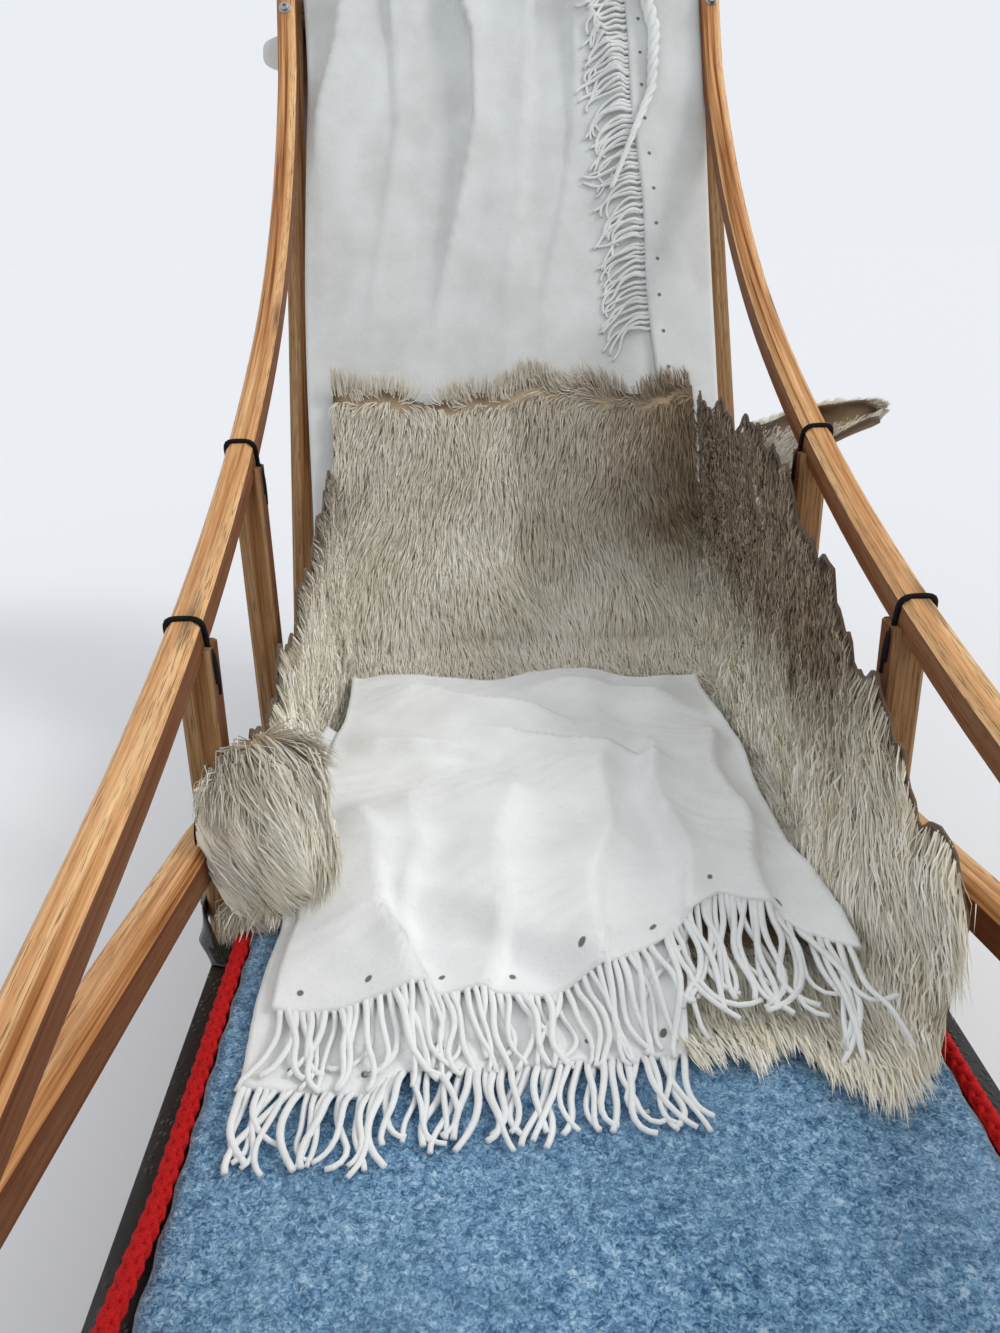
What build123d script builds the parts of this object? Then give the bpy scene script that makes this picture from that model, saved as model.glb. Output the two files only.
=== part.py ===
"""A wooden touring dog sled with a reclined backrest, in millimetres.

+X is the sled's left-to-right, -Y is the way it travels and +Z is up. The
origin is on the floor, midway along the sled's whole length.
"""

from build123d import *
import os
from math import acos, cos, radians, sin, tan

os.makedirs("parts", exist_ok=True)

# Overall sizes
OVERALL_LENGTH = 2520       # front of the brush bow to the tails of the runners
TAIL_LENGTH = 960           # runner tails, behind the foot of the backrest
NOSE_LENGTH = 540           # front of the brush bow, ahead of the front stanchions
RUNNER_SPACING = 580        # between the runners' centre lines; all widths follow it
BED_HEIGHT = 205            # top of the felt mat above the floor
BACKREST_LEAN = 28.7        # degrees from upright
HANDLE_HEIGHT = 1160        # top of the handle bow above the floor
POST_STUB = 65              # the rear stanchions stop this far below it

# Timber sections
RAIL_WIDTH = 26
RAIL_DEPTH = 32
RAIL_EDGE = 6
HANDLE_SIZE = 28
HANDLE_EDGE = 6
POST_WIDTH = 28
POST_DEPTH = 32
POST_EDGE = 4
BOW_WIDTH = 32
BOW_DEPTH = 38
BOW_EDGE = 7
CROSS_HEIGHT = 32
CROSS_DEPTH = 34
CROSS_EDGE = 3
TENON_HEIGHT = 20
TENON_DEPTH = 14
TENON_SHORT = 2             # tenons end this far inside the stanchions' outer faces
BRACE_SIZE = 22
BRACE_EDGE = 3
DOWEL_DIAMETER = 28
DOWEL_TENON = 18
DOWEL_SHORT = 4
SHOULDER_CUT = 1            # a bar runs this far into the stanchion before its shoulder is cut

# Runners
RUNNER_WIDTH = 36
RUNNER_THICKNESS = 26
RUNNER_EDGE = 2
SOLE_THICKNESS = 8
RUNNER_BEND = 320           # radius of the centre line of the upturned front
RUNNER_RISE = 64            # degrees that the front is turned up
TIP_TO_BOW = 200            # runner tip behind the front of the brush bow
TOW_HOLE = 14               # diameter of the hole in each towing eye
TOW_EYE_RADIUS = 16
TOW_EYE_REACH = 20          # centre of the hole ahead of the sole
TOW_EYE_THICKNESS = 5

# Bed
MAT_THICKNESS = 8
MAT_TO_POSTS = 23
MAT_MARGIN = 15             # bare sheet at each end of the mat
SHEET_THICKNESS = 5
SHEET_INSET = 7             # its edge, inboard of the runner's centre line
SHEET_BEND = 330            # radius of the upturned front of the bed
SHEET_RISE = 50             # degrees
SHEET_SHOULDER = 50         # length over which the sheet narrows to pass the runners
SLAT_THICKNESS = 12
SLAT_WIDTH = 44
SLAT_EDGE = 2
SLAT_COUNT = 4
SLAT_INSET = 28             # outer slats, inboard of the mat's edges
NOTCH_CLEARANCE = 2

# Stanchions, from the runners' centre lines
FOOT_SHIFT = 3              # the rear pair stands this far outboard, the others inboard
REAR_TOP_SPREAD = 10        # tops of the rear pair, outboard

# Rails and brush bow
RAIL_SPREAD = 4             # rail, outboard of the tops of the rear stanchions
RAIL_BOLTED_LENGTH = 126    # straight stretch that lies on the rear stanchion
RAIL_SLOPE = 7.1            # degrees, falling forward, at its front end
RAIL_CROSSING = 170         # where it crosses the bow's arm, ahead of the front stanchions
RAIL_BEYOND = 40            # its end, ahead of the crossing
RAIL_LAP = 1                # depth that the stanchion's face is let into the rail
RAIL_LET_IN = 1.5           # depth that the rail is let into the bow's arm
CHEEK_RISE = -8             # top of the posts, above the rail's centre line
BOW_REAR_SPREAD = 11        # arms, outboard of the runners' centre lines
BOW_FRONT_SPREAD = -4
BOW_REAR_HEIGHT = 255
BOW_REAR_END = 25           # arms end this far behind the second stanchions
BOW_SLOPE = 9.1             # degrees, rising forward
BOW_CORNER = 180
BOW_KNEE = 1500             # radius where the arms begin to draw in

# Backrest
TOP_BAR_HEIGHT = 1045
LOWER_BAR_HEIGHT = 545
HANDLE_CORNER = 110
HANDLE_LEG = 355            # along the stanchions
CLOTH_THICKNESS = 3
CLOTH_INSET = 8             # its edge, inside the edge of the blanket
BLANKET_THICKNESS = 8
BLANKET_TO_POSTS = 14
BLANKET_REAR_DROP = 230
BLANKET_TO_SEAT = 30
BRACE_TOP_HEIGHT = 760
BRACE_TO_BOARD = 26         # middle of its foot, ahead of the footboard

# Soft goods on the bed
HIDE_THICKNESS = 20
HIDE_INSET = 3              # its edge, inside the edge of the mat
HIDE_LENGTH = 700           # on the bed
HIDE_CORNER = 30
HIDE_LEFT_RISE = 120
HIDE_RIGHT_RISE = 130       # at its front end
HIDE_RIGHT_SLOPE = 19       # degrees, rising towards the backrest
HIDE_BACK_HEIGHT = 545      # top of the hide on the backrest, above the floor
SEAT_BLANKET_THICKNESS = 12
SEAT_BLANKET_INSET = 22     # its edge, inside the upturned sides of the hide
SEAT_BLANKET_TO_BACK = 90
SEAT_BLANKET_LAP = 75       # laid flat on the mat ahead of the hide
ROPE_DIAMETER = 12
ROPE_CLEARANCE = 2
ROPE_RUN = 170              # length over which each rope rises to its stanchion
ROPE_LIFT = 32
ROPE_BEND = 220

# Footboards and brake
FOOTBOARD_WIDTH = 94
FOOTBOARD_LENGTH = 430
FOOTBOARD_THICKNESS = 12
FOOTBOARD_TO_TAIL = 30
FOOTBOARD_CORNER = 14
PAD_THICKNESS = 5
PAD_MARGIN = 8
PAD_CORNER = 10
BRAKE_WIDTH = 220
BRAKE_LENGTH = 590
BRAKE_DROP = 25
BRAKE_BAR_WIDTH = 26
BRAKE_BAR_THICKNESS = 10
BRAKE_CORNER = 60
BRAKE_PIN = 8
PIN_STANDOUT = 3            # beyond the bracket's ears
BRAKE_REACH = 26            # pin behind the rear cross piece
EYE_THICKNESS = 8
EYE_HEIGHT = 24
EYE_LENGTH = 34             # from the pin to the end of the flat bar
EAR_THICKNESS = 5
EAR_CLEARANCE = 1
EAR_BEYOND = 10             # ears end this far behind the pin
BRACKET_WIDTH = 40
BRACKET_HEIGHT = 30
CLAW_DIAMETER = 12
CLAW_LENGTH = 56
CLAW_POINT = 16
CLAW_TIP_RADIUS = 2
CLAW_INSET = 45
BRAKE_PAD = (120, 60, 12)
BRAKE_PAD_CORNER = 8

GAP = 0.3                   # between surfaces that rest on each other

# Stanchion stations: name, share of the way from the backrest to the front pair,
# and how far inboard of the rail its top stands
STATIONS = (
    ("first", 0.257, 5),
    ("second", 0.53, 5),
    ("front", 1.0, -8),
)

# Bends of the side rail: share of its whole turn, radius in proportion to the others
RAIL_BENDS = (
    (0.24, 0.21),
    (0.44, 1.0),
    (0.32, 1.87),
)

# Heights and places that follow from the sizes above
TAIL_Y = OVERALL_LENGTH / 2
BACKREST_Y = TAIL_Y - TAIL_LENGTH
RUNNER_X = RUNNER_SPACING / 2
RUNNER_MIDDLE = SOLE_THICKNESS + RUNNER_THICKNESS / 2
RUNNER_TOP = SOLE_THICKNESS + RUNNER_THICKNESS
SHEET_TOP = BED_HEIGHT - MAT_THICKNESS
SLAT_TOP = SHEET_TOP - SHEET_THICKNESS
CROSS_TOP = SLAT_TOP - SLAT_THICKNESS
CROSS_MIDDLE = CROSS_TOP - CROSS_HEIGHT / 2
LEAN = radians(BACKREST_LEAN)
BOW_FRONT_Y = -OVERALL_LENGTH / 2 + BOW_WIDTH / 2
TIP_Y = -OVERALL_LENGTH / 2 + TIP_TO_BOW
FRONT_POST_Y = -OVERALL_LENGTH / 2 + NOSE_LENGTH
STATION_Y = {name: BACKREST_Y + share * (FRONT_POST_Y - BACKREST_Y) for name, share, _ in STATIONS}
BOW_REAR_Y = STATION_Y["second"] + BOW_REAR_END
BAR_RADIUS = DOWEL_DIAMETER / 2

# Widths that follow from the runners' spacing
REAR_TOP_X = RUNNER_X + REAR_TOP_SPREAD
RAIL_TOP_X = REAR_TOP_X + RAIL_SPREAD
BOW_REAR_X = RUNNER_X + BOW_REAR_SPREAD
BOW_FRONT_X = RUNNER_X + BOW_FRONT_SPREAD
SHEET_WIDTH = RUNNER_SPACING - 2 * SHEET_INSET
MAT_WIDTH = RUNNER_SPACING - POST_WIDTH - 2 * MAT_TO_POSTS
BLANKET_WIDTH = 2 * REAR_TOP_X - POST_WIDTH - 2 * BLANKET_TO_POSTS
HIDE_WIDTH = MAT_WIDTH - 2 * HIDE_INSET
SEAT_BLANKET_WIDTH = HIDE_WIDTH - 2 * HIDE_THICKNESS - 2 * SEAT_BLANKET_INSET
BEYOND = 2 * OVERALL_LENGTH     # longer than anything, for blocks that cut


def backrest_y(height):
    """Y of the rear stanchion's centre line at a height."""
    return BACKREST_Y + (height - BED_HEIGHT) * tan(LEAN)


def bow_height(y):
    """Height of the brush bow's centre line at Y."""
    return BOW_REAR_HEIGHT + (BOW_REAR_Y - y) * tan(radians(BOW_SLOPE))


def side_plane(x=0, y=0, z=0, taper=0.0):
    """A lengthwise plane: local x runs forward, local y runs up."""
    forward = Vector(-taper, -1, 0).normalized()
    across = forward.cross(Vector(0, 0, 1))
    return Plane(origin=(x, y, z), x_dir=forward, z_dir=across)


def bent_path(start, heading, runs):
    """Straights and arcs in local x and y, from runs of length, turn and radius."""
    x, y = start
    edges = []
    for length, turn, radius in runs:
        direction = (cos(radians(heading)), sin(radians(heading)))
        if length:
            end = (x + length * direction[0], y + length * direction[1])
            edges.append(Line((x, y), end).edge())
            x, y = end
        if turn:
            arc = JernArc(start=(x, y), tangent=direction, radius=radius, arc_size=turn)
            edges.append(arc.edge())
            x, y = (arc @ 1).X, (arc @ 1).Y
            heading += turn
    return Wire(edges)


def section(width, depth, edge):
    """A rectangle with its corners planed off."""
    outline = Rectangle(width, depth)
    if edge:
        outline = chamfer(outline.vertices(), edge)
    return outline


def bent_member(path, width, depth, edge=0):
    """A bent piece of constant section, its width across the sled."""
    start = Plane(origin=path @ 0, x_dir=(1, 0, 0), z_dir=path % 0)
    return sweep(start * section(width, depth, edge), path=path)


def straight_member(start, end, width, depth, edge=0):
    """A straight piece of constant section, its width across the sled."""
    run = Vector(*end) - Vector(*start)
    place = Plane(origin=start, x_dir=(1, 0, 0), z_dir=run)
    return extrude(place * section(width, depth, edge), amount=run.length)


def dowel(length, diameter, y, z):
    """A round bar across the sled."""
    return Pos(0, y, z) * Rot(0, 90, 0) * Cylinder(diameter / 2, length)


def pair(right):
    """The right-hand piece and its mirror image on the left."""
    return [right, mirror(right, about=Plane.YZ)]


def point_at(path, y):
    """The point of a path that runs forward, at a given Y."""
    near, far = 0.0, 1.0
    for _ in range(40):
        middle = (near + far) / 2
        if (path @ middle).Y > y:
            near = middle
        else:
            far = middle
    return path @ near


def write(name, shapes):
    """Write one node, whose solids don't touch each other."""
    if not isinstance(shapes, list):
        shapes = [shapes]
    solids = [solid for shape in shapes for solid in shape.solids()]
    export_step(Compound(children=solids) if len(solids) > 1 else solids[0], f"parts/{name}.step")


# Brush bow: a hoop in a plane that rises forward, its arms drawing in at the front
bow_plane = Plane(
    origin=(0, BOW_REAR_Y, BOW_REAR_HEIGHT),
    x_dir=(1, 0, 0),
    z_dir=(0, sin(radians(BOW_SLOPE)), cos(radians(BOW_SLOPE))),
)
bow_run = (BOW_REAR_Y - BOW_FRONT_Y) / cos(radians(BOW_SLOPE))
knee_run = (BOW_REAR_Y - FRONT_POST_Y) / cos(radians(BOW_SLOPE))
bow_outline = FilletPolyline(
    (BOW_REAR_X, 0),
    (BOW_REAR_X, -knee_run),
    (BOW_FRONT_X, -bow_run),
    (-BOW_FRONT_X, -bow_run),
    (-BOW_REAR_X, -knee_run),
    (-BOW_REAR_X, 0),
    radius=[BOW_KNEE, BOW_CORNER, BOW_CORNER, BOW_KNEE],
)
bow_path = bow_plane * Wire(bow_outline.edges())
bow_start = Plane(origin=bow_path @ 0, x_dir=bow_plane.z_dir, z_dir=bow_path % 0)
brush_bow = sweep(bow_start * section(BOW_DEPTH, BOW_WIDTH, BOW_EDGE), path=bow_path)
bow_region = Rectangle(BEYOND, BEYOND, align=(Align.CENTER, Align.MAX))
above_bow_bottom = extrude(bow_plane.offset(-BOW_DEPTH / 2) * bow_region, amount=BEYOND)

# Runners turn up at the front until they meet the underside of the bow's arms
tip_z = bow_height(TIP_Y)
rise = radians(RUNNER_RISE)
bend_height = RUNNER_BEND * (1 - cos(rise))
tip_straight = (tip_z - RUNNER_MIDDLE - bend_height) / sin(rise)
bend_y = TIP_Y + RUNNER_BEND * sin(rise) + tip_straight * cos(rise)


def runner_path(offset):
    """The runner's line, or one below it by the offset."""
    start = (0, RUNNER_MIDDLE - offset)
    runs = [(TAIL_Y - bend_y, RUNNER_RISE, RUNNER_BEND + offset), (tip_straight, 0, 0)]
    return side_plane(RUNNER_X, TAIL_Y) * bent_path(start, 0, runs)


sole_offset = (RUNNER_THICKNESS + SOLE_THICKNESS) / 2
runner = bent_member(runner_path(0), RUNNER_WIDTH, RUNNER_THICKNESS, RUNNER_EDGE)
runner = runner - above_bow_bottom
sole = bent_member(runner_path(sole_offset), RUNNER_WIDTH, SOLE_THICKNESS) - above_bow_bottom

# Rear stanchions lean back from the runners; cut level where they stand on them
rear_foot = (RUNNER_X + FOOT_SHIFT, backrest_y(0), 0)
rear_top_z = HANDLE_HEIGHT - POST_STUB
rear_top = (REAR_TOP_X, backrest_y(rear_top_z), rear_top_z)
floor_cut = Pos(0, 0, RUNNER_TOP - BEYOND / 2) * Box(BEYOND, BEYOND, BEYOND)
rear_post = straight_member(rear_foot, rear_top, POST_WIDTH, POST_DEPTH, POST_EDGE) - floor_cut

# Side rail: straight where it is bolted to the stanchion, then sweeping forward
# until it crosses the inner side of the bow's arm, where it is bolted again
seat_offset = (POST_DEPTH + RAIL_DEPTH) / 2 - RAIL_LAP
rail_top_z = rear_top_z
rail_top_y = backrest_y(rail_top_z) - seat_offset / cos(LEAN)
crossing_y = FRONT_POST_Y - RAIL_CROSSING
crossing_x = point_at(bow_path, crossing_y).X - (BOW_WIDTH + RAIL_WIDTH) / 2 + RAIL_LET_IN
rail_taper = (RAIL_TOP_X - crossing_x) / (rail_top_y - crossing_y)
rail_plane = side_plane(RAIL_TOP_X, rail_top_y, rail_top_z, rail_taper)
rail_turn = 90 - BACKREST_LEAN - RAIL_SLOPE


def rail_bends(scale):
    """The bends' turns in degrees and their radii."""
    return [(0, share * rail_turn, ratio * scale) for share, ratio in RAIL_BENDS]


unit_end = bent_path((0, 0), BACKREST_LEAN - 90, rail_bends(1)) @ 1
still_ahead = rail_top_y - crossing_y - RAIL_BOLTED_LENGTH * sin(LEAN)
still_down = rail_top_z - bow_height(crossing_y) - RAIL_BOLTED_LENGTH * cos(LEAN)
slope = tan(radians(RAIL_SLOPE))
rail_radius = (still_down - slope * still_ahead) / (-unit_end.Y - slope * unit_end.X)
rail_straight = (still_ahead - rail_radius * unit_end.X) / cos(radians(RAIL_SLOPE))
rail_runs = [
    (RAIL_BOLTED_LENGTH, 0, 0),
    *rail_bends(rail_radius),
    (rail_straight + RAIL_BEYOND, 0, 0),
]
rail_path = rail_plane * bent_path((0, 0), BACKREST_LEAN - 90, rail_runs)
rail = bent_member(rail_path, RAIL_WIDTH, RAIL_DEPTH, RAIL_EDGE) - rear_post

# Stanchions under the rail, each notched to carry it
posts = {"rear": rear_post}
post_ends = {"rear": (rear_foot, rear_top)}
station_y = {"rear": backrest_y(CROSS_MIDDLE), **STATION_Y}
for name, _, inboard in STATIONS:
    y = STATION_Y[name]
    seat = point_at(rail_path, y)
    foot = (RUNNER_X - FOOT_SHIFT, y, 0)
    top = (seat.X - inboard, y, seat.Z + CHEEK_RISE)
    post_ends[name] = (foot, top)
    post = straight_member(foot, top, POST_WIDTH, POST_DEPTH, POST_EDGE)
    post = post - floor_cut - runner - rail
    posts[name] = max(post.solids(), key=lambda solid: solid.volume)

# Cross pieces between the stanchions, with tenons through them
cross_pieces = {}
for name, y in station_y.items():
    place = Pos(0, y, CROSS_MIDDLE)
    bar = chamfer(Box(RUNNER_SPACING, CROSS_DEPTH, CROSS_HEIGHT).edges().filter_by(Axis.X), CROSS_EDGE)
    tenon = place * Box(RUNNER_SPACING + POST_WIDTH - 2 * TENON_SHORT, TENON_DEPTH, TENON_HEIGHT)
    post = posts[name]
    both = [post, mirror(post, about=Plane.YZ)]
    body = place * bar
    for side in both:
        body = body - side
    body = max(body.solids(), key=lambda solid: solid.volume)
    cross_pieces[name] = body + tenon
    posts[name] = post - tenon

# The arms of the bow are notched over the second pair and the front pair, and the
# ends of the rails are let into them
for piece in (posts["second"], posts["front"], rail):
    for side in pair(piece):
        brush_bow = brush_bow - side
brush_bow = max(brush_bow.solids(), key=lambda solid: solid.volume)

# A round bar spreads the runners where they turn up, just under the slats
nose_bar_z = CROSS_TOP - BAR_RADIUS - GAP
bar_turn = acos(1 - (nose_bar_z - RUNNER_MIDDLE) / RUNNER_BEND)
nose_bar_y = bend_y - RUNNER_BEND * sin(bar_turn)
nose_bar = dowel(RUNNER_SPACING - RUNNER_WIDTH, DOWEL_DIAMETER, nose_bar_y, nose_bar_z)
nose_tenon = dowel(RUNNER_SPACING + RUNNER_WIDTH, DOWEL_TENON, nose_bar_y, nose_bar_z)
nose_bar = nose_bar + nose_tenon
runner = runner - nose_tenon

# Towing eyes: a steel plate on the inner side of each runner's upturned end
back_from_tip = tip_straight / 2
eye_origin = (
    RUNNER_X - RUNNER_WIDTH / 2,
    TIP_Y + back_from_tip * cos(rise),
    tip_z - back_from_tip * sin(rise),
)
eye_forward = (0, -sin(rise), -cos(rise))
eye_plane = Plane(origin=eye_origin, x_dir=eye_forward, z_dir=(-1, 0, 0))
hole_ahead = RUNNER_THICKNESS / 2 + SOLE_THICKNESS + TOW_EYE_REACH
plate_back = RUNNER_THICKNESS / 4
plate_length = hole_ahead + plate_back
eye_outline = Pos(plate_length / 2 - plate_back, 0) * Rectangle(plate_length, 2 * TOW_EYE_RADIUS)
eye_outline = eye_outline + Pos(hole_ahead, 0) * Circle(TOW_EYE_RADIUS)
eye_outline = eye_outline - Pos(hole_ahead, 0) * Circle(TOW_HOLE / 2)
tow_eye = extrude(eye_plane * eye_outline, amount=TOW_EYE_THICKNESS)
hole_at = eye_plane * Pos(hole_ahead, 0, TOW_EYE_THICKNESS / 2)

# Bed sheet: flat, then curving up to the back of the bow
sheet_middle = SHEET_TOP - SHEET_THICKNESS / 2
sheet_end_y = BOW_FRONT_Y + BOW_WIDTH / 2
sheet_end_z = bow_height(BOW_FRONT_Y)
sheet_rise = radians(SHEET_RISE)
sheet_bend_height = SHEET_BEND * (1 - cos(sheet_rise))
sheet_straight = (sheet_end_z - sheet_middle - sheet_bend_height) / sin(sheet_rise)
flat_front_y = sheet_end_y + SHEET_BEND * sin(sheet_rise) + sheet_straight * cos(sheet_rise)
sheet_rear_y = station_y["rear"] + CROSS_DEPTH / 2
sheet_path = side_plane(0, sheet_rear_y) * bent_path(
    (0, sheet_middle),
    0,
    [(sheet_rear_y - flat_front_y, SHEET_RISE, SHEET_BEND), (sheet_straight, 0, 0)],
)
bed_sheet = bent_member(sheet_path, SHEET_WIDTH, SHEET_THICKNESS)
eye_inner_x = RUNNER_X - RUNNER_WIDTH / 2 - TOW_EYE_THICKNESS
nose_x = min(BOW_FRONT_X - BOW_WIDTH / 2, eye_inner_x) - NOTCH_CLEARANCE
nose_y = BOW_FRONT_Y + BOW_WIDTH / 2 + NOTCH_CLEARANCE
nose_corner = BOW_CORNER - BOW_WIDTH / 2 - NOTCH_CLEARANCE
plan = make_face(
    Polyline(
        (SHEET_WIDTH / 2, sheet_rear_y),
        (SHEET_WIDTH / 2, flat_front_y + SHEET_SHOULDER),
        (nose_x, flat_front_y),
        (nose_x, nose_y),
        (-nose_x, nose_y),
        (-nose_x, flat_front_y),
        (-SHEET_WIDTH / 2, flat_front_y + SHEET_SHOULDER),
        (-SHEET_WIDTH / 2, sheet_rear_y),
        close=True,
    )
)
plan = fillet(plan.vertices().group_by(Axis.Y)[0], nose_corner)
bed_sheet = bed_sheet & extrude(plan, amount=BEYOND)
for name, y in station_y.items():
    bottom, top = post_ends[name]
    wide = POST_WIDTH + 2 * NOTCH_CLEARANCE
    deep = POST_DEPTH + 2 * NOTCH_CLEARANCE
    for side in pair(straight_member(bottom, top, wide, deep)):
        bed_sheet = bed_sheet - side
bed_sheet = max(bed_sheet.solids(), key=lambda solid: solid.volume)

# Slats lie on the cross pieces and carry the flat of the sheet
slat_length = sheet_rear_y - (nose_bar_y - BAR_RADIUS)
outer_slat_x = MAT_WIDTH / 2 - SLAT_INSET
slat_step = 2 * outer_slat_x / (SLAT_COUNT - 1)
slats = [
    Pos(k * slat_step - outer_slat_x, sheet_rear_y - slat_length / 2, CROSS_TOP + SLAT_THICKNESS / 2)
    * chamfer(Box(SLAT_WIDTH, slat_length, SLAT_THICKNESS).edges().filter_by(Axis.Y), SLAT_EDGE)
    for k in range(SLAT_COUNT)
]

# Felt mat on the flat of the sheet
mat_rear_y = sheet_rear_y - MAT_MARGIN
mat_length = mat_rear_y - flat_front_y - MAT_MARGIN
felt_mat = Pos(0, mat_rear_y - mat_length / 2, SHEET_TOP + GAP + (MAT_THICKNESS - GAP) / 2) * Box(
    MAT_WIDTH, mat_length, MAT_THICKNESS - GAP
)

# Backrest: two round bars tenoned into the stanchions, and a cloth in front of them
def across_backrest(height):
    """A round bar between the rear stanchions, and the tenon that runs through it."""
    y = backrest_y(height)
    body = dowel(2 * (REAR_TOP_X + SHOULDER_CUT) - POST_WIDTH, DOWEL_DIAMETER, y, height)
    tenon = dowel(2 * (REAR_TOP_X - DOWEL_SHORT) + POST_WIDTH, DOWEL_TENON, y, height)
    return body, tenon


bars = {}
for name, height in (("backrest_top_bar", TOP_BAR_HEIGHT), ("backrest_lower_bar", LOWER_BAR_HEIGHT)):
    body, tenon = across_backrest(height)
    for side in pair(posts["rear"]):
        body = body - side
    body = max(body.solids(), key=lambda solid: solid.volume)
    bars[name] = body + tenon
    posts["rear"] = posts["rear"] - tenon


def lean_plane(height, ahead):
    """A plane along the backrest, its origin this far in front of the stanchions' centres."""
    origin = (0, backrest_y(height) - ahead * cos(LEAN), height + ahead * sin(LEAN))
    return Plane(origin=origin, x_dir=(1, 0, 0), z_dir=(0, -cos(LEAN), sin(LEAN)))


cloth_length = (TOP_BAR_HEIGHT - LOWER_BAR_HEIGHT) / cos(LEAN)
cloth_ahead = BAR_RADIUS + GAP + CLOTH_THICKNESS / 2
cloth_middle = (TOP_BAR_HEIGHT + LOWER_BAR_HEIGHT) / 2
back_cloth = lean_plane(cloth_middle, cloth_ahead) * Box(
    BLANKET_WIDTH - 2 * CLOTH_INSET, cloth_length, CLOTH_THICKNESS
)

# Blanket over the top bar: a short drop behind, the long side down to the seat
fold_radius = BAR_RADIUS + 2 * GAP + CLOTH_THICKNESS + BLANKET_THICKNESS / 2
blanket_turn = -(180 - BACKREST_LEAN)
seat_top = BED_HEIGHT + GAP + HIDE_THICKNESS
blanket_drop = (TOP_BAR_HEIGHT - seat_top - BLANKET_TO_SEAT) / cos(LEAN)
blanket_path = side_plane(0, backrest_y(TOP_BAR_HEIGHT), TOP_BAR_HEIGHT) * bent_path(
    (-fold_radius, -BLANKET_REAR_DROP),
    90,
    [(BLANKET_REAR_DROP, blanket_turn, fold_radius), (blanket_drop, 0, 0)],
)
back_blanket = bent_member(blanket_path, BLANKET_WIDTH, BLANKET_THICKNESS)

# Handle bow on the backs of the rear stanchions
handle_ahead = -(POST_DEPTH + HANDLE_SIZE) / 2
corner_rise = HANDLE_SIZE / 2 * cos(LEAN) + (HANDLE_SIZE / 2 - HANDLE_EDGE) * sin(LEAN)
handle_middle = HANDLE_HEIGHT - corner_rise
handle_s = (handle_middle - TOP_BAR_HEIGHT - handle_ahead * sin(LEAN)) / cos(LEAN)
handle_outline = FilletPolyline(
    (REAR_TOP_X, handle_s - HANDLE_LEG),
    (REAR_TOP_X, handle_s),
    (-REAR_TOP_X, handle_s),
    (-REAR_TOP_X, handle_s - HANDLE_LEG),
    radius=HANDLE_CORNER,
)
handle_path = lean_plane(TOP_BAR_HEIGHT, handle_ahead) * Wire(handle_outline.edges())
handle_start = Plane(origin=handle_path @ 0, x_dir=(1, 0, 0), z_dir=handle_path % 0)
handle_bow = sweep(handle_start * section(HANDLE_SIZE, HANDLE_SIZE, HANDLE_EDGE), path=handle_path)

# Braces from the runners, just ahead of the footboards, to the backs of the rear stanchions
board_front_y = TAIL_Y - FOOTBOARD_TO_TAIL - FOOTBOARD_LENGTH
brace_foot = (RUNNER_X, board_front_y - BRACE_TO_BOARD, 0)
brace_top = (REAR_TOP_X - POST_EDGE, backrest_y(BRACE_TOP_HEIGHT), BRACE_TOP_HEIGHT)
brace = straight_member(brace_foot, brace_top, BRACE_SIZE, BRACE_SIZE, BRACE_EDGE)
brace = brace - floor_cut - posts["rear"]
brace = max(brace.solids(), key=lambda solid: solid.volume)

# Footboards on the runner tails, with a rubber pad on each
board_middle_y = board_front_y + FOOTBOARD_LENGTH / 2
board = Box(FOOTBOARD_WIDTH, FOOTBOARD_LENGTH, FOOTBOARD_THICKNESS)
board = fillet(board.edges().filter_by(Axis.Z), FOOTBOARD_CORNER)
footboard = Pos(RUNNER_X, board_middle_y, RUNNER_TOP + FOOTBOARD_THICKNESS / 2) * board
pad = Box(FOOTBOARD_WIDTH - 2 * PAD_MARGIN, FOOTBOARD_LENGTH - 2 * PAD_MARGIN, PAD_THICKNESS)
pad = fillet(pad.edges().filter_by(Axis.Z), PAD_CORNER)
pad_z = RUNNER_TOP + FOOTBOARD_THICKNESS + PAD_THICKNESS / 2
footboard_pad = Pos(RUNNER_X, board_middle_y, pad_z) * pad

# Claw brake: a bent flat bar hinged behind the rear cross piece
pivot_y = station_y["rear"] + CROSS_DEPTH / 2 + BRAKE_REACH
pivot_z = CROSS_MIDDLE
brake_x = BRAKE_WIDTH / 2
bar_front = (pivot_y + EYE_LENGTH, pivot_z - BRAKE_DROP * EYE_LENGTH / BRAKE_LENGTH)
bar_rear = (pivot_y + BRAKE_LENGTH, pivot_z - BRAKE_DROP)
bar_path = Wire(
    FilletPolyline(
        (brake_x, *bar_front),
        (brake_x, *bar_rear),
        (-brake_x, *bar_rear),
        (-brake_x, *bar_front),
        radius=BRAKE_CORNER,
    ).edges()
)
brake_frame = bent_member(bar_path, BRAKE_BAR_WIDTH, BRAKE_BAR_THICKNESS)
eye_length = EYE_LENGTH + EYE_HEIGHT
eye = Pos(0, eye_length / 2 - EYE_HEIGHT / 2, 0) * Box(EYE_THICKNESS, eye_length, EYE_HEIGHT)
eye = eye - dowel(BEYOND, BRAKE_PIN + 2 * GAP, 0, 0)
for side in (-1, 1):
    brake_frame = brake_frame + Pos(side * brake_x, pivot_y, pivot_z) * eye

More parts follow.
